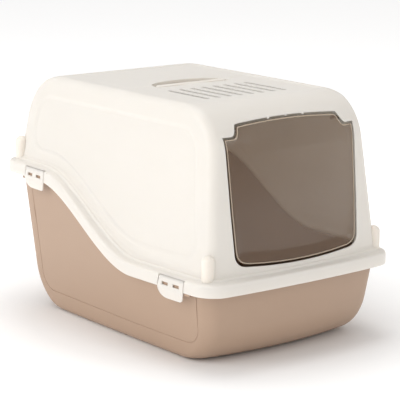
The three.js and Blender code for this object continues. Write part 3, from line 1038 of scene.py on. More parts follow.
@dataclass
class Tray:
    """The deep litter tray with its S-curved rim."""

    # Distance above the skirt's lower edge and distance in from its face, both in mm.
    LIP = (
        (14.5, 6.5), (14.3, 7.2), (13, 7.3), (9, 7.3), (4, 7.3), (4, 6.8), (4, 5.3),
        (4.5, 4.8), (9, 4.8), (15, 4.8), (16.6, 5.0), (17, 5.6), (17, 11), (17, 16.6),
    )

    form: BoxForm
    stations: Sequence[Station]
    material: bpy.types.Material
    groove: float = 0.5 * MM
    seam_radius: float = 0.9 * MM
    catch_overhang: float = 11 * MM

    def half(self, y: np.ndarray, z: np.ndarray, inset: float) -> np.ndarray:
        """Half width of the tray.

        Args:
            y: place along the length.
            z: height.
            inset: how far the skin is pulled in.

        Returns:
            The half width.
        """
        form = self.form
        share = (y / form.half_length) ** 2
        rim = form.half_width - form.tray_inset - form.side_bow * share
        base = form.half_width - form.tray_inset - form.tray_draft - 4 * MM * share
        half = base + (rim - base) * z / form.rim(y)
        return half - inset - round_in(form.edge - inset, z - inset)

    def ring(self, z: np.ndarray | float, inset: float) -> np.ndarray:
        """One ring of the tray's wall.

        Args:
            z: each column's height.
            inset: how far the skin is pulled in.

        Returns:
            The ring's points.
        """
        form = self.form
        x, y = PLAN.outline(
            lambda y: self.half(y, z, inset),
            -form.tray_wall(True).out(z, inset),
            form.tray_wall(False).out(z, inset),
            form.tray_corner - inset,
            form.tray_bow,
        )
        if inset == 0:
            x = x - np.where(PLAN.at_side, np.sign(x) * self.groove * self.panel(y, z + 0 * y), 0)
        return np.stack([x, y, z + 0 * y], 1)

    def panel(self, y: np.ndarray, z: np.ndarray) -> np.ndarray:
        """The shallow panel pressed into each side.

        Args:
            y: place along the length.
            z: height.

        Returns:
            1 inside the panel, 0 outside it.
        """
        front = -236 * MM + 0.14 * np.maximum(0.0, 114 * MM - z)
        inside = soft_min([y - front, 214 * MM - y, z - 33 * MM], 34 * MM)
        return smoothstep(inside, -0.9 * MM, 1.2 * MM)

    def seams(self) -> bpy.types.Object:
        """Make the fine groove that outlines each side panel.

        Returns:
            The tool object.
        """
        shapes = Shapes("tray_seams")
        corner, low, rear = 32 * MM, 33 * MM, 205 * MM
        bend = low + corner
        quarter = [math.pi / 2 * k / 12 for k in range(1, 13)]
        path = [(-235 * MM + 0.09 * (122 * MM - z), z) for z in np.linspace(0.13, bend, 16)]
        foot = path[-1][0]
        path += [
            (foot + corner * (1 - math.cos(a)), low + corner * (1 - math.sin(a))) for a in quarter
        ]
        path += [(y, low) for y in np.linspace(foot + corner, rear - corner, 70)[1:]]
        path += [
            (rear - corner * (1 - math.sin(a)), low + corner * (1 - math.cos(a))) for a in quarter
        ]
        rise = np.linspace(bend, 0.235, 24)[1:]
        path += [(rear + 0.08 * (z - low - corner), z) for z in rise]
        y, z = np.array(path).T
        half = self.half(y, z, 0.0) - self.groove * self.panel(y, z)
        for side in (-1, 1):
            shapes.tube(np.stack([side * half, y, z], 1), self.seam_radius)
        return shapes.object()

    def wall_ring(self, share: float, low: float, height: float, inset: float) -> np.ndarray:
        """One ring between a level and the rim.

        Args:
            share: 0 at the level, 1 at the rim.
            low: the level's height.
            height: the top ring's height above the skirt's lower edge.
            inset: how far the skin is pulled in.

        Returns:
            The ring's points.
        """
        z = low + 0 * PLAN.turn
        for _ in range(6):
            y = self.ring(z, inset)[:, 1]
            z = low + share * (self.form.rim(y) + height - low)
        return self.ring(z, inset)

    def build(self) -> bpy.types.Object:
        """Make the tray.

        Returns:
            The tray.
        """
        rises = turn_rises(self.form.tray_front_turn)
        low = rises[-1]
        wall = self.form.wall
        outer = [self.ring(rise, 0.0) for rise in rises]
        outer += [self.wall_ring(k / 40, low, 14.5 * MM, 0.0) for k in range(1, 41)]
        rim = [rim_ring(self.form, h * MM, i * MM) for h, i in self.LIP]
        inner = [self.wall_ring(k / 26, low, 16.5 * MM, wall) for k in range(26, 0, -1)]
        inner += [self.ring(rise + wall, wall) for rise in rises[::-2]]
        mesh = bmesh.new()
        add_rows(mesh, floor_rows(outer[0])[::-1] + outer + rim + inner + floor_rows(inner[-1]))
        tray = mesh_object("tray_shell", mesh, SHELL_SHARP)
        ribs = Shapes("tray_catches")
        reach = self.stations[0].width / 2 + self.catch_overhang
        for station in self.stations:
            station.slab(
                ribs, rectangle(-reach, reach, -4.5 * MM, 12 * MM), -6.8 * MM, -3.1 * MM
            )
        carve(tray, ribs.object(), "UNION", SHELL_SHARP)
        carve(tray, self.seams(), "DIFFERENCE", SHELL_SHARP)
        dress(tray, self.material)
        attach(tray, "tray_body")
        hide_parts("tray")
        return tray


def rim_ring(form: BoxForm, height: float, inset: float) -> np.ndarray:
    """One ring that follows the S-curved rim.

    Args:
        form: the box's shared sizes.
        height: height above the skirt's lower edge.
        inset: how far in from the skirt's face.

    Returns:
        The ring's points.
    """
    x, y = PLAN.outline(
        lambda y: form.rim_half(y) - inset,
        -form.half_length + form.shift + inset,
        form.half_length + form.shift - inset,
        max(form.corner - inset, 3 * MM),
        form.front_bow,
    )
    return np.stack([x, y, form.rim(y) + height], 1)


FLOOR_SHARES = (0.97, 0.85, 0.6, 0.3, 0.02)


def floor_rows(ring: np.ndarray) -> list[np.ndarray]:
    """Rings that close a level face towards its middle.

    Args:
        ring: the face's border.

    Returns:
        The rings, from the border inwards.
    """
    middle = np.array([0.0, ring[:, 1].mean(), ring[:, 2].mean()])
    return [middle + (ring - middle) * share for share in FLOOR_SHARES]


# ------------------------------------------------------------------ hood


@dataclass(frozen=True)
class DoorShape:
    """The door opening's outline in the front wall."""

    form: BoxForm
    foot: float = 127 * MM
    waist: float = 130 * MM
    ear: float = 135 * MM
    ear_inner: float = 117 * MM
    shoulder: float = 101 * MM
    sill_lift: float = 5 * MM
    foot_size: float = 27 * MM
    axis_depth: float = 4.9 * MM
    axis_drop: float = 37 * MM
    crown_drop: float = 22.5 * MM
    shoulder_drop: float = 27 * MM
    ear_drop: float = 44 * MM
    waist_rise: float = 119 * MM
    sill_rise: float = 10 * MM
    half_height: float = 110 * MM

    @property
    def bottom(self) -> float:
        """Height of the sill's middle."""
        return self.form.rim_low + self.form.skirt + self.sill_rise

    @property
    def middle(self) -> float:
        """Height of the outline's middle."""
        return self.bottom + self.half_height

    @property
    def axis(self) -> tuple[float, float]:
        """The y and z of the hinge line."""
        y = self.axis_depth - float(self.form.hood_wall(True).out(self.axis_drop))
        return y, self.form.height - self.axis_drop

    def outline(self, inset: float, steps: int) -> np.ndarray:
        """The outline, pulled in.

        Args:
            inset: how far it is pulled in.
            steps: points on each curve.

        Returns:
            The x and z of the outline's points, in order round it.
        """
        top = self.form.height
        sill = self.bottom + inset
        crown = top - self.crown_drop - inset
        side = self.bottom + self.sill_lift + inset
        foot, ear = self.foot - inset, top - self.ear_drop - inset
        inner, shoulder = self.ear_inner - inset, self.shoulder - inset
        half: list[tuple[float, float]] = [(0.0, sill)]

        def curve(cx: float, cz: float, x: float, z: float) -> None:
            """Add a curve to a point."""
            x0, z0 = half[-1]
            for k in range(1, steps + 1):
                t = k / steps
                u = 1 - t
                half.append((u * u * x0 + 2 * u * t * cx + t * t * x,
                             u * u * z0 + 2 * u * t * cz + t * t * z))

        def line(x: float, z: float) -> None:
            """Add a straight run to a point."""
            x0, z0 = half[-1]
            count = max(1, round(math.hypot(x - x0, z - z0) / (6 * MM)))
            for k in range(1, count + 1):
                half.append((x0 + (x - x0) * k / count, z0 + (z - z0) * k / count))

        curve((foot - self.foot_size) / 2, sill, foot - self.foot_size, side)
        curve(foot, side + 1 * MM, foot, side + self.foot_size - self.sill_lift)
        line(self.waist - inset, self.form.rim_low + self.waist_rise)
        line(self.ear - inset - 2 * MM, ear - 3 * MM)
        curve(self.ear - inset, ear, self.ear - inset - 3 * MM, ear)
        line(inner, ear)
        curve(inner - 6 * MM, ear, shoulder + 5 * MM, top - 31 * MM - inset)
        level = top - self.shoulder_drop - inset
        curve(shoulder + 3 * MM, level, shoulder, level)
        curve(shoulder / 2, crown, 0.0, crown)
        right = np.array(half)
        left = right[1:-1][::-1] * (-1, 1)
        return np.concatenate([right, left])


@dataclass
class Hood:
    """The lift-off hood: skirt, stepped ledge, panelled walls and a recessed top."""

    # Rows of distance above the skirt's lower edge and distance in from its face, both in mm.
    SKIRT_OUTSIDE = (
        (0, 0.7), (0.15, 0.25), (0.7, 0), (5, 0), (11, 0), (15.4, 0), (17, 0.25), (18.2, 0.8),
        (19.1, 1.7), (19.7, 2.9), (20, 4.2), (20.4, 7), (20.8, 10), (21.1, 12), (21.5, 13.1),
        (22.4, 13.9), (23.6, 14.4), (24.3, 15), (24.7, 16), (25, 17.2), (25.4, 18.2),
        (26, 18.9), (27, 19.4),
    )
    SKIRT_INSIDE = (
        (22.4, 21.9), (21.8, 18), (21.3, 15.9), (20, 14.6), (18.7, 13.2), (18.3, 11.5),
        (17.6, 4), (17.2, 3), (16.4, 2.5), (9, 2.5), (0.6, 2.5), (0.1, 2.2), (0, 1.8),
    )
    # Radius and height of a corner post, in mm.
    POST_PROFILE = (
        (10, 0), (10, 33), (9.4, 35.4), (7.9, 37.6), (5.6, 39.6), (2.6, 41), (0.2, 41.3),
    )

    form: BoxForm
    door: DoorShape
    stations: Sequence[Station]
    material: bpy.types.Material
    side_recess: float = 2 * MM
    top_recess: float = 2.2 * MM
    vents: int = 8
    vent_pitch: float = 22.7 * MM
    vent_width: float = 9 * MM
    vent_front: float = -137 * MM
    vent_rear: float = -34 * MM
    pocket_half: float = 73.5 * MM
    pocket_depth: float = 20 * MM
    slit: float = 1.5 * MM
    boss_near: float = 2 * MM
    boss_far: float = 10.5 * MM
    post_front: float = 31.5 * MM
    post_rear: float = 25.5 * MM
    post_inset: float = 30 * MM
    lug_near: float = 0.8 * MM
    lug_far: float = 9.8 * MM
    basket_lug_x: tuple[float, float] = (96.4 * MM, 101 * MM)
    basket_lug_y: tuple[float, float] = (-152 * MM, -140 * MM)
    teeth_at: tuple[float, float, float] = (-36 * MM, 0.0, 35 * MM)

    def half(self, y: np.ndarray, z: np.ndarray, inset: float) -> np.ndarray:
        """Half width of the hood's walls.

        Args:
            y: place along the length.
            z: height.
            inset: how far the skin is pulled in.

        Returns:
            The half width.
        """
        form = self.form
        rim = form.rim(y) + form.skirt
        low = form.rim_half(y) - form.ledge
        high = form.half_width - form.ledge - form.hood_draft
        high = high - form.top_bow * (y / form.half_length) ** 2
        half = low + (high - low) * (z - rim) / (form.height - rim)
        return half - inset - round_in(form.edge - inset, form.height - inset - z)

    def side_panel(self, y: np.ndarray, z: np.ndarray) -> np.ndarray:
        """The shallow panel pressed into each side.

        Args:
            y: place along the length.
            z: height.

        Returns:
            1 inside the panel, 0 outside it.
        """
        front = -202 * MM - 0.13 * np.maximum(0.0, 344 * MM - z)
        low = self.form.rim(y) + 46 * MM
        rear = 221 * MM + 0.1 * (364 * MM - z)
        inside = soft_min([364 * MM - z, y - front, rear - y, z - low], 34 * MM)
        return smoothstep(inside, -1.8 * MM, 2.2 * MM)

    def ring(self, rise: np.ndarray | float, inset: float) -> np.ndarray:
        """One ring of the hood's wall.

        Args:
            rise: each column's distance below the skin's top.
            inset: how far the skin is pulled in.

        Returns:
            The ring's points.
        """
        form = self.form
        z = form.height - inset - rise + 0 * PLAN.turn
        x, y = PLAN.outline(
            lambda y: self.half(y, z, inset),
            -form.hood_wall(True).out(form.height - z, inset),
            form.hood_wall(False).out(form.height - z, inset),
            form.corner - form.ledge - inset / 2,
            form.front_bow,
        )
        pressed = self.side_recess * self.side_panel(y, z)
        x = x - np.where(PLAN.at_side, np.sign(x) * pressed, 0.0)
        return np.stack([x, y, z], 1)

    def wall_ring(self, share: float, upper: float, height: float, inset: float) -> np.ndarray:
        """One ring between the ledge and a level.

        Args:
            share: 0 at the ledge, 1 at the level.
            upper: the level's distance below the skin's top.
            height: the lowest ring's height above the skirt's lower edge.
            inset: how far the skin is pulled in.

        Returns:
            The ring's points.
        """
        top = self.form.height - inset
        rise = upper + 0 * PLAN.turn
        for _ in range(8):
            y = self.ring(rise, inset)[:, 1]
            rise = upper + (1 - share) * (top - upper - self.form.rim(y) - height)
        return self.ring(rise, inset)

    def top_rows(self, ring: np.ndarray, recess: float, count: int) -> list[np.ndarray]:
        """Rings over the top, from its border to its middle.

        Args:
            ring: the top's border.
            recess: how deep the middle area is pressed in.
            count: how many rings.

        Returns:
            The rings.
        """
        middle = np.array([0.0, 9 * MM, 0.0])
        rows = []
        for share in np.linspace(1, 0.02, count)[1:]:
            row = middle + (ring - middle) * (share, share, 1)
            x, y = row[:, 0], row[:, 1]
            inside = soft_min([133 * MM - abs(x), y + 171 * MM, 196 * MM - y], 26 * MM)
            raised = smoothstep(y - 0.30 * abs(x) + 8 * MM, -3 * MM, 3 * MM)
            pressed = recess * smoothstep(inside, -3 * MM, 4 * MM) * (1 - 0.42 * raised)
            rows.append(np.stack([x, y, row[:, 2] - pressed], 1))
        return rows

    def shell(self) -> bpy.types.Object:
        """Make the moulded shell before anything is added or cut.

        Returns:
            The shell.
        """
        wall = self.form.wall
        rises = turn_rises(self.form.front_turn)
        upper = rises[-1]
        top = self.ring(0.0, 0.0)
        outer = self.top_rows(top, self.top_recess, 58)[::-1]
        outer += [self.ring(rise, 0.0) for rise in rises]
        outer += [self.wall_ring(1 - k / 44, upper, 28.5 * MM, 0.0) for k in range(1, 45)]
        outer += [rim_ring(self.form, h * MM, i * MM) for h, i in reversed(self.SKIRT_OUTSIDE)]
        inner = [rim_ring(self.form, h * MM, i * MM) for h, i in reversed(self.SKIRT_INSIDE)]
        inner += [self.wall_ring(k / 22, upper, 23.5 * MM, wall) for k in range(22)]
        inner += [self.ring(rise, wall) for rise in rises[::-2]] + [self.ring(0.0, wall)]
        inner += self.top_rows(inner[-1], self.top_recess, 24)
        mesh = bmesh.new()
        add_rows(mesh, outer + inner)
        return mesh_object("hood_shell", mesh, SHELL_SHARP)

    def additions(self) -> bpy.types.Object:
        """Make what stands on the shell: posts, bosses, pocket tub and lugs.

        Returns:
            The tool object.
        """
        form, door, shapes = self.form, self.door, Shapes("hood_additions")
        for side in (-1, 1):
            for y in (self.post_front - form.half_length, form.half_length - self.post_rear):
                foot = float(form.rim(y)) + form.skirt - 1 * MM
                shapes.turned(
                    (side * (form.half_width - self.post_inset), y, foot),
                    [(r * MM, z * MM) for r, z in self.POST_PROFILE],
                )
            low = side * (door.ear_inner + self.lug_near)
            high = side * (door.ear_inner + self.lug_far)
            y, z = door.axis
            shapes.block(
                (min(low, high), y - 1 * MM, z - 8 * MM), (max(low, high), y + 6 * MM, z + 7 * MM)
            )
            low, high = sorted(side * x for x in self.basket_lug_x)
            front, rear = self.basket_lug_y
            shapes.block(
                (low, front, form.height - 16.5 * MM), (high, rear, form.height - 3.6 * MM)
            )
        wall, depth = form.wall, self.pocket_depth
        shapes.prism(
            [(x, y, form.height - depth - wall) for x, y in self.pocket(wall)],
            (0, 0, depth + wall - 3.6 * MM),
        )
        for station in self.stations:
            first, last = station.barrel
            near, far = self.boss_near, self.boss_far
            for start, end in ((last + near, last + far), (first - far, first - near)):
                station.slab(shapes, rectangle(start, end, 13.9 * MM, 18 * MM), -4.2 * MM, -1 * MM)
        return shapes.object()

    def teeth(self) -> bpy.types.Object:
        """Make the three small stops on the door opening's upper edge.

        Returns:
            The tool object.
        """
        shapes = Shapes("hood_teeth")
        for x in self.teeth_at:
            fall = 4.5 * MM * abs(x / self.door.shoulder) ** 1.3
            top = self.form.height - self.door.crown_drop - fall
            y = float(self.form.hood_front(np.array(x), np.array(top), 0.0))
            shapes.block((x - 2.2 * MM, y + 0.4 * MM, top - 1.6 * MM),
                         (x + 2.2 * MM, y + 2.4 * MM, top + 2 * MM))
        return shapes.object()

    def pocket(self, grow: float) -> list[tuple[float, float]]:
        """The outline of the finger pocket: straight in front and round behind.

        Args:
            grow: how far it is grown.

        Returns:
            The x and y of its points.
        """
        half = self.pocket_half + grow
        points = [(-half, -grow), (half, -grow)]
        for k in range(33):
            angle = math.pi * k / 32
            points.append((half * math.cos(angle), 14 * MM + (34 * MM + grow) * math.sin(angle)))
        return points

    def cutters(self) -> bpy.types.Object:
        """Make what is cut from the hood: door, vents, pocket, latch openings and bores.

        Returns:
            The tool object.
        """
        form, door, shapes = self.form, self.door, Shapes("hood_cutters")
        shapes.prism([(x, -310 * MM, z) for x, z in door.outline(0.0, 10)], (0, 105 * MM, 0))
        radius = self.vent_width / 2
        for k in range(self.vents):
            x = (k - (self.vents - 1) / 2) * self.vent_pitch
            ring = []
            ends = ((self.vent_rear - radius, 0.0), (self.vent_front + radius, math.pi))
            for middle, start in ends:
                for n in range(11):
                    angle = start + math.pi * n / 10
                    ring.append((x + radius * math.cos(angle), middle + radius * math.sin(angle),
                                 form.height - 12 * MM))
            shapes.prism(ring, (0, 0, 20 * MM))
        floor = form.height - self.pocket_depth
        shapes.prism([(x, y, floor) for x, y in self.pocket(0.0)], (0, 0, 30 * MM))
        for side in (-1, 1):
            low, high = sorted((side * 59.6 * MM, side * 69.4 * MM))
            shapes.block((low, 5.6 * MM, floor - 5 * MM), (high, 15.4 * MM, floor - 0.01 * MM))
            y, z = door.axis
            start, end = side * 110 * MM, side * 131 * MM
            shapes.bar((start, y, z), (end, y, z), 1.9 * MM, 20)
        for station in self.stations:
            outline = station.outline(self.slit, -6 * MM)
            station.slab(shapes, outline, -5.5 * MM, 4 * MM)
        return shapes.object()

    def build(self) -> bpy.types.Object:
        """Make the hood.

        Returns:
            The hood.
        """
        hood = self.shell()
        carve(hood, self.additions(), "UNION", SHELL_SHARP)
        carve(hood, self.cutters(), "DIFFERENCE", SHELL_SHARP)
        carve(hood, self.teeth(), "UNION", SHELL_SHARP)
        dress(hood, self.material)
        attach(hood, "hood_body")
        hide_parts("hood")
        return hood


# ------------------------------------------------------------------ door


@dataclass
class DoorFlap:
    """The see-through swing door: a thin moulded sheet with a dished middle."""

    form: BoxForm
    door: DoorShape
    material: bpy.types.Material
    gap: float = 3.5 * MM
    recess: float = 1 * MM
    thickness: float = 2.2 * MM
    dish: float = 3.6 * MM

    def skin(self, x: np.ndarray, z: np.ndarray, border: np.ndarray, inset: float) -> np.ndarray:
        """Points of one face of the sheet.

        Args:
            x: places across.
            z: heights.
            border: each point's distance from the sheet's border.
            inset: the face's depth behind the hood's outer face.

        Returns:
            The points.
        """
        y = self.form.hood_front(x, z, inset)
        low = 0.2 + 0.8 * smoothstep(self.door.middle - z, -10 * MM, 90 * MM)
        dished = self.dish * low * smoothstep(border, 3.2 * MM, 16 * MM)
        rim = 0.5 * MM * smoothstep(1.6 * MM - border, 0.0, 1.6 * MM)
        return np.stack([x, y + dished + rim, z], 1)

    def build(self) -> bpy.types.Object:
        """Make the flap with its hinge knuckles.

        Returns:
            The flap.
        """
        edge = self.door.outline(self.gap, 12)
        middle = np.array([0.0, self.door.middle])
        shares = [1 - 0.115 * (k / 18) for k in range(19)]
        shares += [float(s) for s in np.linspace(0.87, 0.02, 22)]
        rows = []
        for share in shares:
            ring = middle + (edge - middle) * share
            gaps = np.sqrt(((ring[:, None, :] - edge[None, :, :]) ** 2).sum(2)).min(1)
            rows.append((ring, gaps if share < 1 else 0 * gaps))
        front = [self.skin(r[:, 0], r[:, 1], g, self.recess) for r, g in rows]
        back = [self.skin(r[:, 0], r[:, 1], g, self.recess + self.thickness) for r, g in rows]
        mesh = bmesh.new()
        add_rows(mesh, front[::-1] + back)
        flap = mesh_object("door_sheet", mesh, SHEET_SHARP)
        knuckles = Shapes("door_knuckles")
        y, z = self.door.axis
        end = self.door.ear_inner + 0.4 * MM
        for side in (-1, 1):
            knuckles.bar((side * (end - 20 * MM), y, z), (side * end, y, z), 3.2 * MM, 24)
        carve(flap, knuckles.object(), "UNION", SHEET_SHARP)
        bores = Shapes("door_bores")
        for side in (-1, 1):
            bores.bar((side * (end - 22 * MM), y, z), (side * (end + 2 * MM), y, z), 1.9 * MM, 20)
        carve(flap, bores.object(), "DIFFERENCE", SHEET_SHARP)
        dress(flap, self.material)
        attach(flap, "door_body")
        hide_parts("door_flap")
        return flap


@dataclass
class DoorBead:
    """A bead round the flap's border, lighter and more opaque than the sheet: a painted highlight
    for the lit edge of the sheet.
    """

    form: BoxForm
    door: DoorShape
    material: bpy.types.Material
    inset: float = 4.6 * MM
    depth: float = 1.2 * MM
    radius: float = 0.9 * MM

    def build(self) -> bpy.types.Object:
        """Make the bead.

        Returns:
            The bead.
        """
        path = self.door.outline(self.inset, 12)
        x, z = path[:, 0], path[:, 1]
        along = np.roll(path, -1, 0) - np.roll(path, 1, 0)
        along /= np.linalg.norm(along, axis=1)[:, None]
        across = np.stack([-along[:, 1], along[:, 0]], 1)
        rows = []
        for k in range(10):
            angle = 2 * math.pi * k / 10
            shift = self.radius * math.cos(angle)
            px, pz = x + across[:, 0] * shift, z + across[:, 1] * shift
            y = self.form.hood_front(px, pz, self.depth) + self.radius * math.sin(angle)
            rows.append(np.stack([px, y, pz], 1))
        mesh = bmesh.new()
        rings = [[mesh.verts.new(point) for point in row] for row in rows]
        count = len(rings[0])
        for first, last in zip(rings, rings[1:] + rings[:1]):
            for k in range(count):
                n = (k + 1) % count
                mesh.faces.new((first[k], first[n], last[n], last[k]))
        bead = mesh_object("door_bead", mesh, BEAD_SHARP)
        dress(bead, self.material)
        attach(bead, "door_body")
        return bead


# ------------------------------------------------------------------ latches, handle, filter


def soften(piece: bpy.types.Object, width: float, segments: int) -> None:
    """Round a piece's sharp edges.

    Args:
        piece: the piece.
        width: the rounding's width.
        segments: faces across it.
    """
    step = piece.modifiers.new("soften", "BEVEL")
    step.width = width
    step.segments = segments
    step.limit_method = "ANGLE"
    step.angle_limit = math.radians(BEVEL_FROM)
    step.harden_normals = False
    graph = bpy.context.evaluated_depsgraph_get()
    result = bpy.data.meshes.new_from_object(piece.evaluated_get(graph))
    piece.modifiers.clear()
    piece.data = result
    result.shade_smooth()
    result.set_sharp_from_angle(angle=math.radians(SHEET_SHARP))


@dataclass
class Latch:
    """A hinged latch plate with two windows."""

    station: Station
    material: bpy.types.Material
    thickness: float = 2.3 * MM
    window_width: float = 14.5 * MM
    window_offset: float = 13 * MM
    window_low: float = 4 * MM
    window_high: float = 9 * MM
    rounding: float = 0.45 * MM
    barrel_radius: float = 2 * MM
    bore_radius: float = 1.1 * MM

    def build(self) -> bpy.types.Object:
        """Make the latch.

        Returns:
            The latch.
        """
        station = self.station
        plate = Shapes("plate")
        station.slab(plate, station.outline(0.0), -self.thickness, 0.0)
        latch = plate.object()
        holes = Shapes("windows")
        half = self.window_width / 2
        for middle in (-self.window_offset, self.window_offset):
            outline = rectangle(middle - half, middle + half, self.window_low, self.window_high)
            station.slab(holes, outline, -5 * MM, 2 * MM)
        carve(latch, holes.object(), "DIFFERENCE", PART_SHARP)
        soften(latch, self.rounding, 2)
        barrel = Shapes("barrel")
        station.rod(barrel, self.barrel_radius, *station.barrel)
        carve(latch, barrel.object(), "UNION", PART_SHARP)
        bore = Shapes("bore")
        station.rod(bore, self.bore_radius, -50 * MM, 50 * MM)
        carve(latch, bore.object(), "DIFFERENCE", PART_SHARP)
        latch.name = f"latch_plate_{station.name}"
        dress(latch, self.material)
        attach(latch, f"latch_body_{station.name}")
        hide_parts(f"latch_{station.name}")
        return latch


@dataclass
class CarryHandle:
    """The pull-up grip on two legs."""

    form: BoxForm
    material: bpy.types.Material
    half: float = 70 * MM
    front: float = 4 * MM
    rear: float = 17 * MM
    thickness: float = 9 * MM
    rounding: float = 2.2 * MM
    sink: float = 1 * MM
    leg_x: tuple[float, float] = (60 * MM, 69 * MM)
    leg_y: tuple[float, float] = (6 * MM, 15 * MM)
    foot_x: tuple[float, float] = (57 * MM, 72 * MM)
    foot_depth: float = 39 * MM
    foot_height: float = 3 * MM

    def build(self) -> bpy.types.Object:
        """Make the handle.

        Returns:
            The handle.
        """
        top = self.form.height - self.sink
        bottom = top - self.thickness
        radius = (self.rear - self.front) / 2
        ring = []
        for side, start in ((1, -math.pi / 2), (-1, math.pi / 2)):
            for k in range(17):
                angle = start + math.pi * k / 16
                ring.append((side * (self.half - radius) + radius * math.cos(angle),
                             self.front + radius + radius * math.sin(angle), bottom))
        grip = Shapes("grip")
        grip.prism(ring, (0, 0, self.thickness))
        handle = grip.object()
        soften(handle, self.rounding, 4)
        foot = self.form.height - self.foot_depth
        front, rear = self.leg_y
        legs = Shapes("legs")
        for side in (-1, 1):
            low, high = sorted(side * x for x in self.leg_x)
            legs.block((low, front, foot - 1 * MM), (high, rear, bottom + 3 * MM))
        carve(handle, legs.object(), "UNION", PART_SHARP)
        feet = Shapes("feet")
        for side in (-1, 1):
            low, high = sorted(side * x for x in self.foot_x)
            feet.block((low, front, foot - self.foot_height), (high, rear, foot))
        carve(handle, feet.object(), "UNION", PART_SHARP)
        handle.name = "carry_grip"
        dress(handle, self.material)
        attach(handle, "handle_body")
        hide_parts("handle")
        return handle


@dataclass
class FilterPad:
    """The carbon felt pad in the drop-down basket."""

    felt: bpy.types.Material
    cuts: int = 24
    pinch: float = 0.35
    pinch_rate: float = 40
    ripple: float = 0.03
    ripples: tuple[float, float] = (47, 31)

    def build(self) -> bpy.types.Object:
        """Make the pad: pinched at its border and slightly rippled on top.

        Returns:
            The pad.
        """
        low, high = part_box("filter_pad")
        pad = bpy.data.meshes.new("felt_pad")
        mesh = bmesh.new()
        bmesh.ops.create_cube(mesh, size=1.0)
        bmesh.ops.subdivide_edges(mesh, edges=mesh.edges, cuts=self.cuts, use_grid_fill=True)
        size = high - low
        for vert in mesh.verts:
            share = vert.co + Vector((0.5, 0.5, 0.5))
            rim = min(share.x, 1 - share.x, share.y, 1 - share.y)
            puff = 1 - self.pinch * math.exp(-rim * self.pinch_rate)
            across, along = self.ripples
            wave = self.ripple * math.sin(share.x * across) * math.sin(share.y * along)
            z = 0.5 + (share.z - 0.5) * (puff + wave * (share.z > 0.5)) / (1 + self.ripple)
            vert.co = low + Vector((share.x * size.x, share.y * size.y, z * size.z))
        mesh.to_mesh(pad)
        mesh.free()
        pad.shade_smooth()
        piece = bpy.data.objects.new("felt_pad", pad)
        bpy.context.scene.collection.objects.link(piece)
        dress(piece, self.felt)
        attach(piece, "filter_body")
        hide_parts("filter_pad")
        return piece


def dress_node(name: str, material: bpy.types.Material) -> None:
    """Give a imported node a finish.

    Args:
        name: the node's name.
        material: its finish.
    """
    node = bpy.data.objects[name]
    for slot in node.material_slots:
        slot.material = material


# ------------------------------------------------------------------ studio


@dataclass(frozen=True)
class Lamp:
    """A round soft light."""

    place: tuple[float, float, float]
    width: float
    power: float


class Softbox(Enum):
    """The soft lights of the studio."""

    KEY = Lamp((-3.2, 0.2, 1.5), 3.4, 50.0)
    FILL = Lamp((0.9, -3.3, 1.9), 2.2, 12.0)
    TOP = Lamp((0.0, 0.6, 3.2), 2.4, 33.0)


@dataclass(frozen=True)
class View:
    """Where the camera stands and which way it is turned."""

    place: tuple[float, float, float] = (-1.741244, -2.202258, 0.817365)
    right: tuple[float, float, float] = (0.78319777, -0.62171847, 0.00820965)
    up: tuple[float, float, float] = (0.12715518, 0.17307791, 0.97666555)
    forward: tuple[float, float, float] = (0.60863192, 0.76387838, -0.21460896)
    lens: float = 154.98
    sensor: float = 36.0
    reach: float = 50.0

    def build(self) -> None:
        """Make the camera."""
        data = bpy.data.cameras.new("camera")
        data.lens = self.lens
        data.sensor_width = self.sensor
        data.clip_end = self.reach
        camera = bpy.data.objects.new("camera", data)
        axes = (Vector(self.right), Vector(self.up), -Vector(self.forward))
        turn = Matrix(axes).transposed().to_4x4()
        camera.matrix_world = Matrix.Translation(self.place) @ turn
        bpy.context.scene.collection.objects.link(camera)
        bpy.context.scene.camera = camera


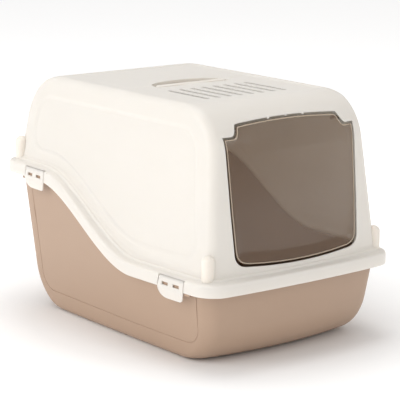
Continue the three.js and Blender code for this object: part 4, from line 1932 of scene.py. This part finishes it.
@dataclass
class Studio:
    """The pale floor, the soft lights, the surroundings and the camera."""

    paper: bpy.types.Material
    view: View = View()
    floor_half: float = 12.0
    floor_steps: int = 24
    aim: tuple[float, float, float] = (0, 0, 0.15)
    room_colour: Colour = (1.0, 0.99, 0.98)
    room_strength: float = 0.6
    backdrop_colour: Colour = (1, 1, 1)

    def build(self) -> None:
        """Make everything round the object."""
        self.floor()
        for box in Softbox:
            self.lamp(box)
        self.surroundings()
        bpy.context.scene.view_settings.view_transform = "Standard"
        self.view.build()

    def floor(self) -> None:
        """Make the floor."""
        mesh = bmesh.new()
        steps = self.floor_steps
        bmesh.ops.create_grid(mesh, x_segments=steps, y_segments=steps, size=self.floor_half)
        floor = mesh_object("floor", mesh)
        floor.data.materials.append(self.paper)

    def lamp(self, box: Softbox) -> None:
        """Make one soft light, turned to the object.

        Args:
            box: which light.
        """
        data = bpy.data.lights.new(f"softbox_{box.name.lower()}", "AREA")
        data.shape = "DISK"
        data.size = box.value.width
        data.energy = box.value.power
        light = bpy.data.objects.new(data.name, data)
        light.location = box.value.place
        way = Vector(self.aim) - Vector(box.value.place)
        light.rotation_euler = way.to_track_quat("-Z", "Y").to_euler()
        bpy.context.scene.collection.objects.link(light)

    def surroundings(self) -> None:
        """Make the room's even light, with a white backdrop where it is looked at."""
        world = bpy.data.worlds.new("surroundings")
        tree = ShaderTree(world)
        room = tree.node(
            "ShaderNodeBackground", Color=(*self.room_colour, 1), Strength=self.room_strength
        )
        backdrop = tree.node("ShaderNodeBackground", Color=(*self.backdrop_colour, 1))
        seen = tree.out(tree.node("ShaderNodeLightPath"), "Is_Camera_Ray")
        choice = tree.node(
            "ShaderNodeMixShader",
            Fac=seen, Shader=tree.out(room), Shader_001=tree.out(backdrop),
        )
        tree.node("ShaderNodeOutputWorld", Surface=tree.out(choice))
        bpy.context.scene.world = world


def main() -> None:
    """Build the litter box piece by piece."""
    logging.basicConfig(level=logging.INFO, format="%(message)s")
    form = BoxForm()
    door = DoorShape(form)
    stations = [
        Station(f"{'front' if y < 0 else 'rear'}_{'left' if side < 0 else 'right'}", side, y, form)
        for side in (-1, 1)
        for y in (FRONT_LATCH - form.half_length, form.half_length - REAR_LATCH)
    ]
    cream = MouldedPlastic(
        "cream_plastic", linear(236, 229, 220), linear(232, 225, 215), depth=0.008
    ).build()
    taupe = MouldedPlastic(
        "taupe_plastic", linear(182, 155, 133), linear(175, 148, 127), roughness=0.48,
        grain=0.00003,
    ).build()
    pin = MouldedPlastic("pin_plastic", linear(214, 206, 192), linear(206, 198, 184)).build()
    smoked = SmokedSheet("smoked_sheet", linear(142, 113, 88), linear(133, 105, 82)).build()
    # Lighter, more opaque tint for the door bead: a painted highlight along the flap's edge.
    edge_highlight = SmokedSheet(
        "polished_edge", linear(196, 178, 156), linear(186, 168, 146), opacity=0.75
    ).build()
    felt = CarbonFelt("carbon_felt").build()
    paper = StudioPaper("studio_paper", linear(250, 250, 250)).build()

    Studio(paper).build()
    pieces = [Tray(form, stations, taupe).build(), Hood(form, door, stations, cream).build()]
    pieces.append(DoorFlap(form, door, smoked).build())
    pieces.append(DoorBead(form, door, edge_highlight).build())
    pieces += [Latch(station, cream).build() for station in stations]
    pieces.append(CarryHandle(form, cream).build())
    pieces.append(FilterPad(felt).build())
    dress_node("filter_holder", cream)
    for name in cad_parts:
        if "_pin_" in name:
            dress_node(name, pin)
    for piece in pieces:
        LOG.info("%s: %d faces", piece.name, len(piece.data.polygons))


if __name__ == "__main__":
    main()
